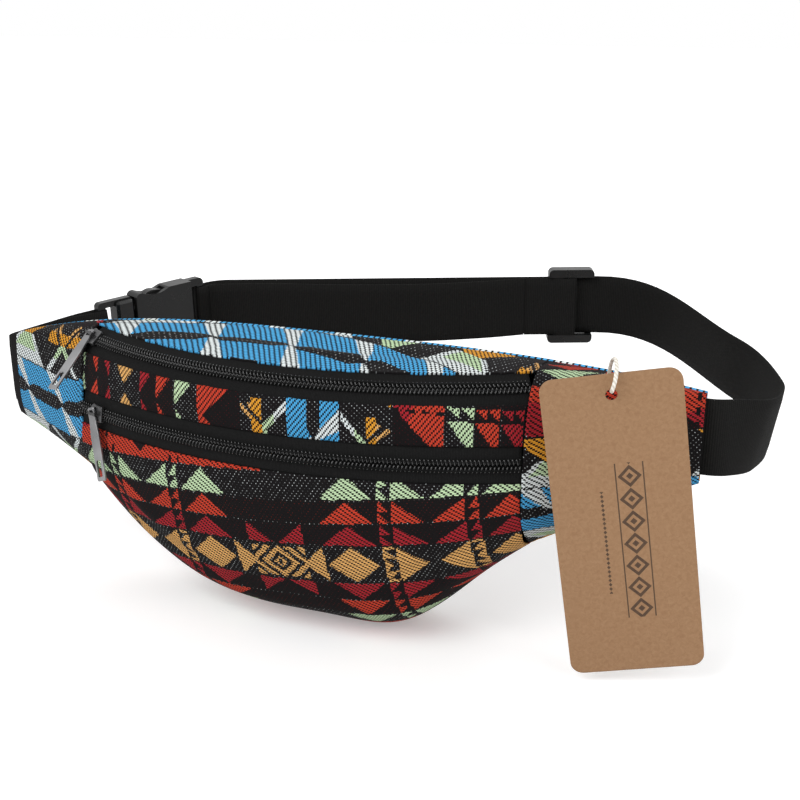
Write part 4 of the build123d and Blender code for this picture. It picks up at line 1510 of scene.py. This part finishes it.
def hard_material(name, low, high, rough, specular=0.5, metallic=0.0, grain=900.0, depth=0.02):
    """A hard finish whose grey drifts from `low` to `high` and whose roughness drifts
    between its own two values, as the marks go from 0.35 to 0.65."""
    made, tree, shader = new_material(name)
    grained = add(tree, "ShaderNodeGroup", node_tree=HARD_GRAIN)
    feed(tree, grained, {"Scale": grain})
    drift = ramp(tree, grained.outputs["Mark"], 0.35, 0.65, kind="LINEAR")
    surface = {
        "Base Color": mixed(tree, drift, grey(low, 1.02), grey(high, 1.02)),
        "Roughness": maths(tree, "MULTIPLY_ADD", drift, rough[1] - rough[0], rough[0]),
        "Metallic": metallic,
        "Specular IOR Level": specular,
    }
    feed(tree, shader, surface)
    bumped(tree, shader, grained.outputs["Height"], strength=0.35, depth=depth)
    return made


coil_nylon = hard_material("coil_nylon", 0.006, 0.01, (0.16, 0.26), specular=0.7, depth=0.01)
thread_black = hard_material(
    "thread_black", 0.003, 0.007, (0.8, 0.9), specular=0.08, grain=3000.0
)
buckle_plastic = hard_material(
    "buckle_plastic", 0.004, 0.007, (0.24, 0.36), specular=0.32, grain=1800.0
)
slider_enamel = hard_material(
    "slider_enamel", 0.07, 0.14, (0.24, 0.36), metallic=0.85, grain=1500.0
)
pull_gunmetal = hard_material(
    "pull_gunmetal", 0.22, 0.34, (0.26, 0.4), metallic=1.0, grain=2500.0
)

# %% Make the zips
for zip_name, track in (("main_zip", main_zip), ("pocket_zip", pocket_zip)):
    for side, place, node in ((1, "top", "upper"), (-1, "bottom", "lower")):
        tape_node = f"{zip_name}_tape_{node}"
        tape(f"{zip_name}_tape_{place}", track, side * TAPE_INNER, side * HALF_BAND, tape_node)
    for side, place, node in ((1, "top", "upper"), (-1, "bottom", "lower")):
        coil_node = f"{zip_name}_coil_{node}"
        wound(f"{zip_name}_strand_{place}", track, side * COIL_MIDDLE, coil_node, side)
    for side, place in ((-1, "bottom"), (1, "top")):
        sewing(f"{zip_name}_sewing_{place}", track, side * SEWING_MIDDLE)

# %% [markdown]
# ## Metal and moulded parts
# The sliders, pulls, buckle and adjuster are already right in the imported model, so they
# keep their meshes and only take a finish.


# %% Finishes of the carried pieces
def finish(node, material):
    """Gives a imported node's object one material."""
    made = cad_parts[node]
    made.data.materials.clear()
    made.data.materials.append(material)


for node in ("buckle_male", "buckle_prong_upper", "buckle_prong_lower", "buckle_female", "tri_glide"):
    finish(node, buckle_plastic)
for zip_name in ("main_zip", "pocket_zip"):
    finish(zip_name + "_slider", slider_enamel)
    finish(zip_name + "_pull", pull_gunmetal)

# %% [markdown]
# ## The hang tag
# A kraft card with rounded corners and a punched hole.  Its surface is a grid between the
# hole and the outline, which keeps the hole round.  The print is a plain column of
# diamonds with a fine dotted line beside it, in the place where such cards carry words.

# %% Tag card (mm, radians)
TAG_PLACE = (156.5, -52.0, 36.3)
TAG_LEAN = np.radians(-8.5)
TAG_TURN = np.radians(14.0)
TAG_SIZE = (61.5, 146.0)
TAG_THICK = 0.9
TAG_CORNER = 6.0
TAG_DROP = 9.5
HOLE_RADIUS = 2.6
RAY_LENGTH = 150
RAY_STEPS = 3000


def card_outline(angle):
    """Distance from the hole to the rounded outline along each angle: the length of the
    ray's steps that lie inside, which means within TAG_CORNER of the smaller rectangle
    whose four corners are the middles of the corner arcs."""
    half_w, half_h = TAG_SIZE[0] / 2, TAG_SIZE[1] / 2
    reach = np.linspace(0, RAY_LENGTH, RAY_STEPS + 1)[:, None]
    x = reach * np.cos(angle)
    y = reach * np.sin(angle) - (TAG_DROP - half_h)
    corner_x = np.maximum(np.abs(x) - (half_w - TAG_CORNER), 0)
    corner_y = np.maximum(np.abs(y) - (half_h - TAG_CORNER), 0)
    inside = np.hypot(corner_x, corner_y) <= TAG_CORNER
    return inside.sum(axis=0) * RAY_LENGTH / RAY_STEPS


def tag_points(x, y, depth):
    """Card coordinates set in place: leaned in the card's plane and turned about the
    upright, with `depth` along the card's thickness."""
    across = x * np.cos(TAG_LEAN) + y * np.sin(TAG_LEAN)
    up = -x * np.sin(TAG_LEAN) + y * np.cos(TAG_LEAN)
    placed = [
        TAG_PLACE[0] + across * np.cos(TAG_TURN) - depth * np.sin(TAG_TURN),
        TAG_PLACE[1] + across * np.sin(TAG_TURN) + depth * np.cos(TAG_TURN),
        TAG_PLACE[2] + up,
    ]
    return np.stack(placed, axis=-1)


# %% The card's angles, closest together at its two lower corners
CARD_RAYS = 240
angle = [np.linspace(-np.pi, np.pi, CARD_RAYS, endpoint=False)]
for side in (-1, 1):
    to_corner = np.arctan2(TAG_DROP - TAG_SIZE[1] + 3, side * 28)
    angle.append(to_corner + np.linspace(-0.06, 0.06, 24))
angle = np.sort(np.concatenate(angle))
share = np.concatenate([[0.0, 0.02], np.linspace(0.1, 0.96, 10), [0.995, 1.0]])[:, None]
distance = HOLE_RADIUS + (card_outline(angle) - HOLE_RADIUS) * share
card_x, card_y = distance * np.cos(angle), distance * np.sin(angle)

# %% The card
REAR_MAP = [200, 0]
front = tag_points(card_x, card_y, -TAG_THICK / 2)
rear = tag_points(card_x, card_y, TAG_THICK / 2)
front_map = np.stack([card_x, card_y], axis=-1)
card_points = np.concatenate([front, rear[::-1]], axis=0)
card_map = np.concatenate([front_map, front_map[::-1] + REAR_MAP])
card_points = np.concatenate([card_points, card_points[:, :1]], axis=1)
card_map = np.concatenate([card_map, card_map[:, :1]], axis=1)
card, _ = grid_object("kraft_card", card_points, card_map, wrap=True)
mesh = bmesh.new()
mesh.from_mesh(card.data)
bmesh.ops.remove_doubles(mesh, verts=mesh.verts, dist=1e-6)
bmesh.ops.recalc_face_normals(mesh, faces=mesh.faces)
mesh.to_mesh(card.data)
mesh.free()
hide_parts("hang_tag")
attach(card, "tag")
print("kraft_card", len(card.data.polygons), "faces")

# %% Places of the print (mm from the hole)
INK_FROM_TO = (-109.0, -32.0)
DOTS_FROM_TO = (-96.0, -45.0)
RAILS = [(-1.9, -1.3), (10.3, 10.9)]


# %% Kraft and print
def kraft_material():
    """Brown board with long pale and dark fibres, and a dark brown print.  A diamond is
    where |x - x0| / half + 2 |fract(y / pitch) - 1/2| is small: a ring from 0.62 to 0.98
    with a middle under 0.3, and in the dotted line all that is under 0.9."""
    made, tree, shader = new_material("kraft_card")
    do = partial(maths, tree)
    place = cloth_map(tree)
    x, y = in_millimetres(tree, place)
    fibre = noise(tree, place, 55.0, detail=8.0, distortion=0.6)
    speck = noise(tree, place, 190.0, detail=3.0)
    board = mixed(tree, fibre, rgb("886548"), rgb("A18060"))
    board = mixed(tree, ramp(tree, speck, 0.62, 0.78, 0.0, 0.5), board, rgb("7C5A3E"))

    def between(value, limits):
        """1 where the value is over the first limit and under the second."""
        over = do("GREATER_THAN", value, limits[0])
        return do("MULTIPLY", over, do("LESS_THAN", value, limits[1]))

    def diamonds(x0, half, pitch):
        """Distance from the middle of a diamond in a column at x0, 1 at its sides."""
        side = do("ABSOLUTE", do("SUBTRACT", x, x0))
        up = do("MULTIPLY", off_middle(tree, y, pitch), 2.0)
        return do("ADD", do("DIVIDE", side, half), up)

    big = diamonds(4.5, 5.4, 11.0)
    ink = do("MAXIMUM", between(big, (0.62, 0.98)), do("LESS_THAN", big, 0.3))
    ink = do("MULTIPLY", ink, between(y, INK_FROM_TO))
    rails = do("MAXIMUM", between(x, RAILS[0]), between(x, RAILS[1]))
    rails = do("MULTIPLY", rails, between(y, INK_FROM_TO))
    dots = do("LESS_THAN", diamonds(-8.5, 0.9, 2.2), 0.9)
    dots = do("MULTIPLY", dots, between(y, DOTS_FROM_TO))
    ink = do("MAXIMUM", do("MAXIMUM", ink, rails), dots)
    ink = do("MULTIPLY", ink, do("MULTIPLY_ADD", fibre, 0.3, 0.72))
    printed = mixed(tree, ink, board, rgb("41332B"))
    feed(tree, shader, {"Base Color": printed, "Roughness": 0.82, "Specular IOR Level": 0.25})
    bumped(tree, shader, speck, strength=0.25, depth=0.08)
    return made


card.data.materials.append(kraft_material())

# %% [markdown]
# ## Last update
# The visual model has to keep to the imported model's box, apart from a little that soft
# pieces may stand proud.

# %% Bring the scene up to date
bpy.context.view_layer.update()
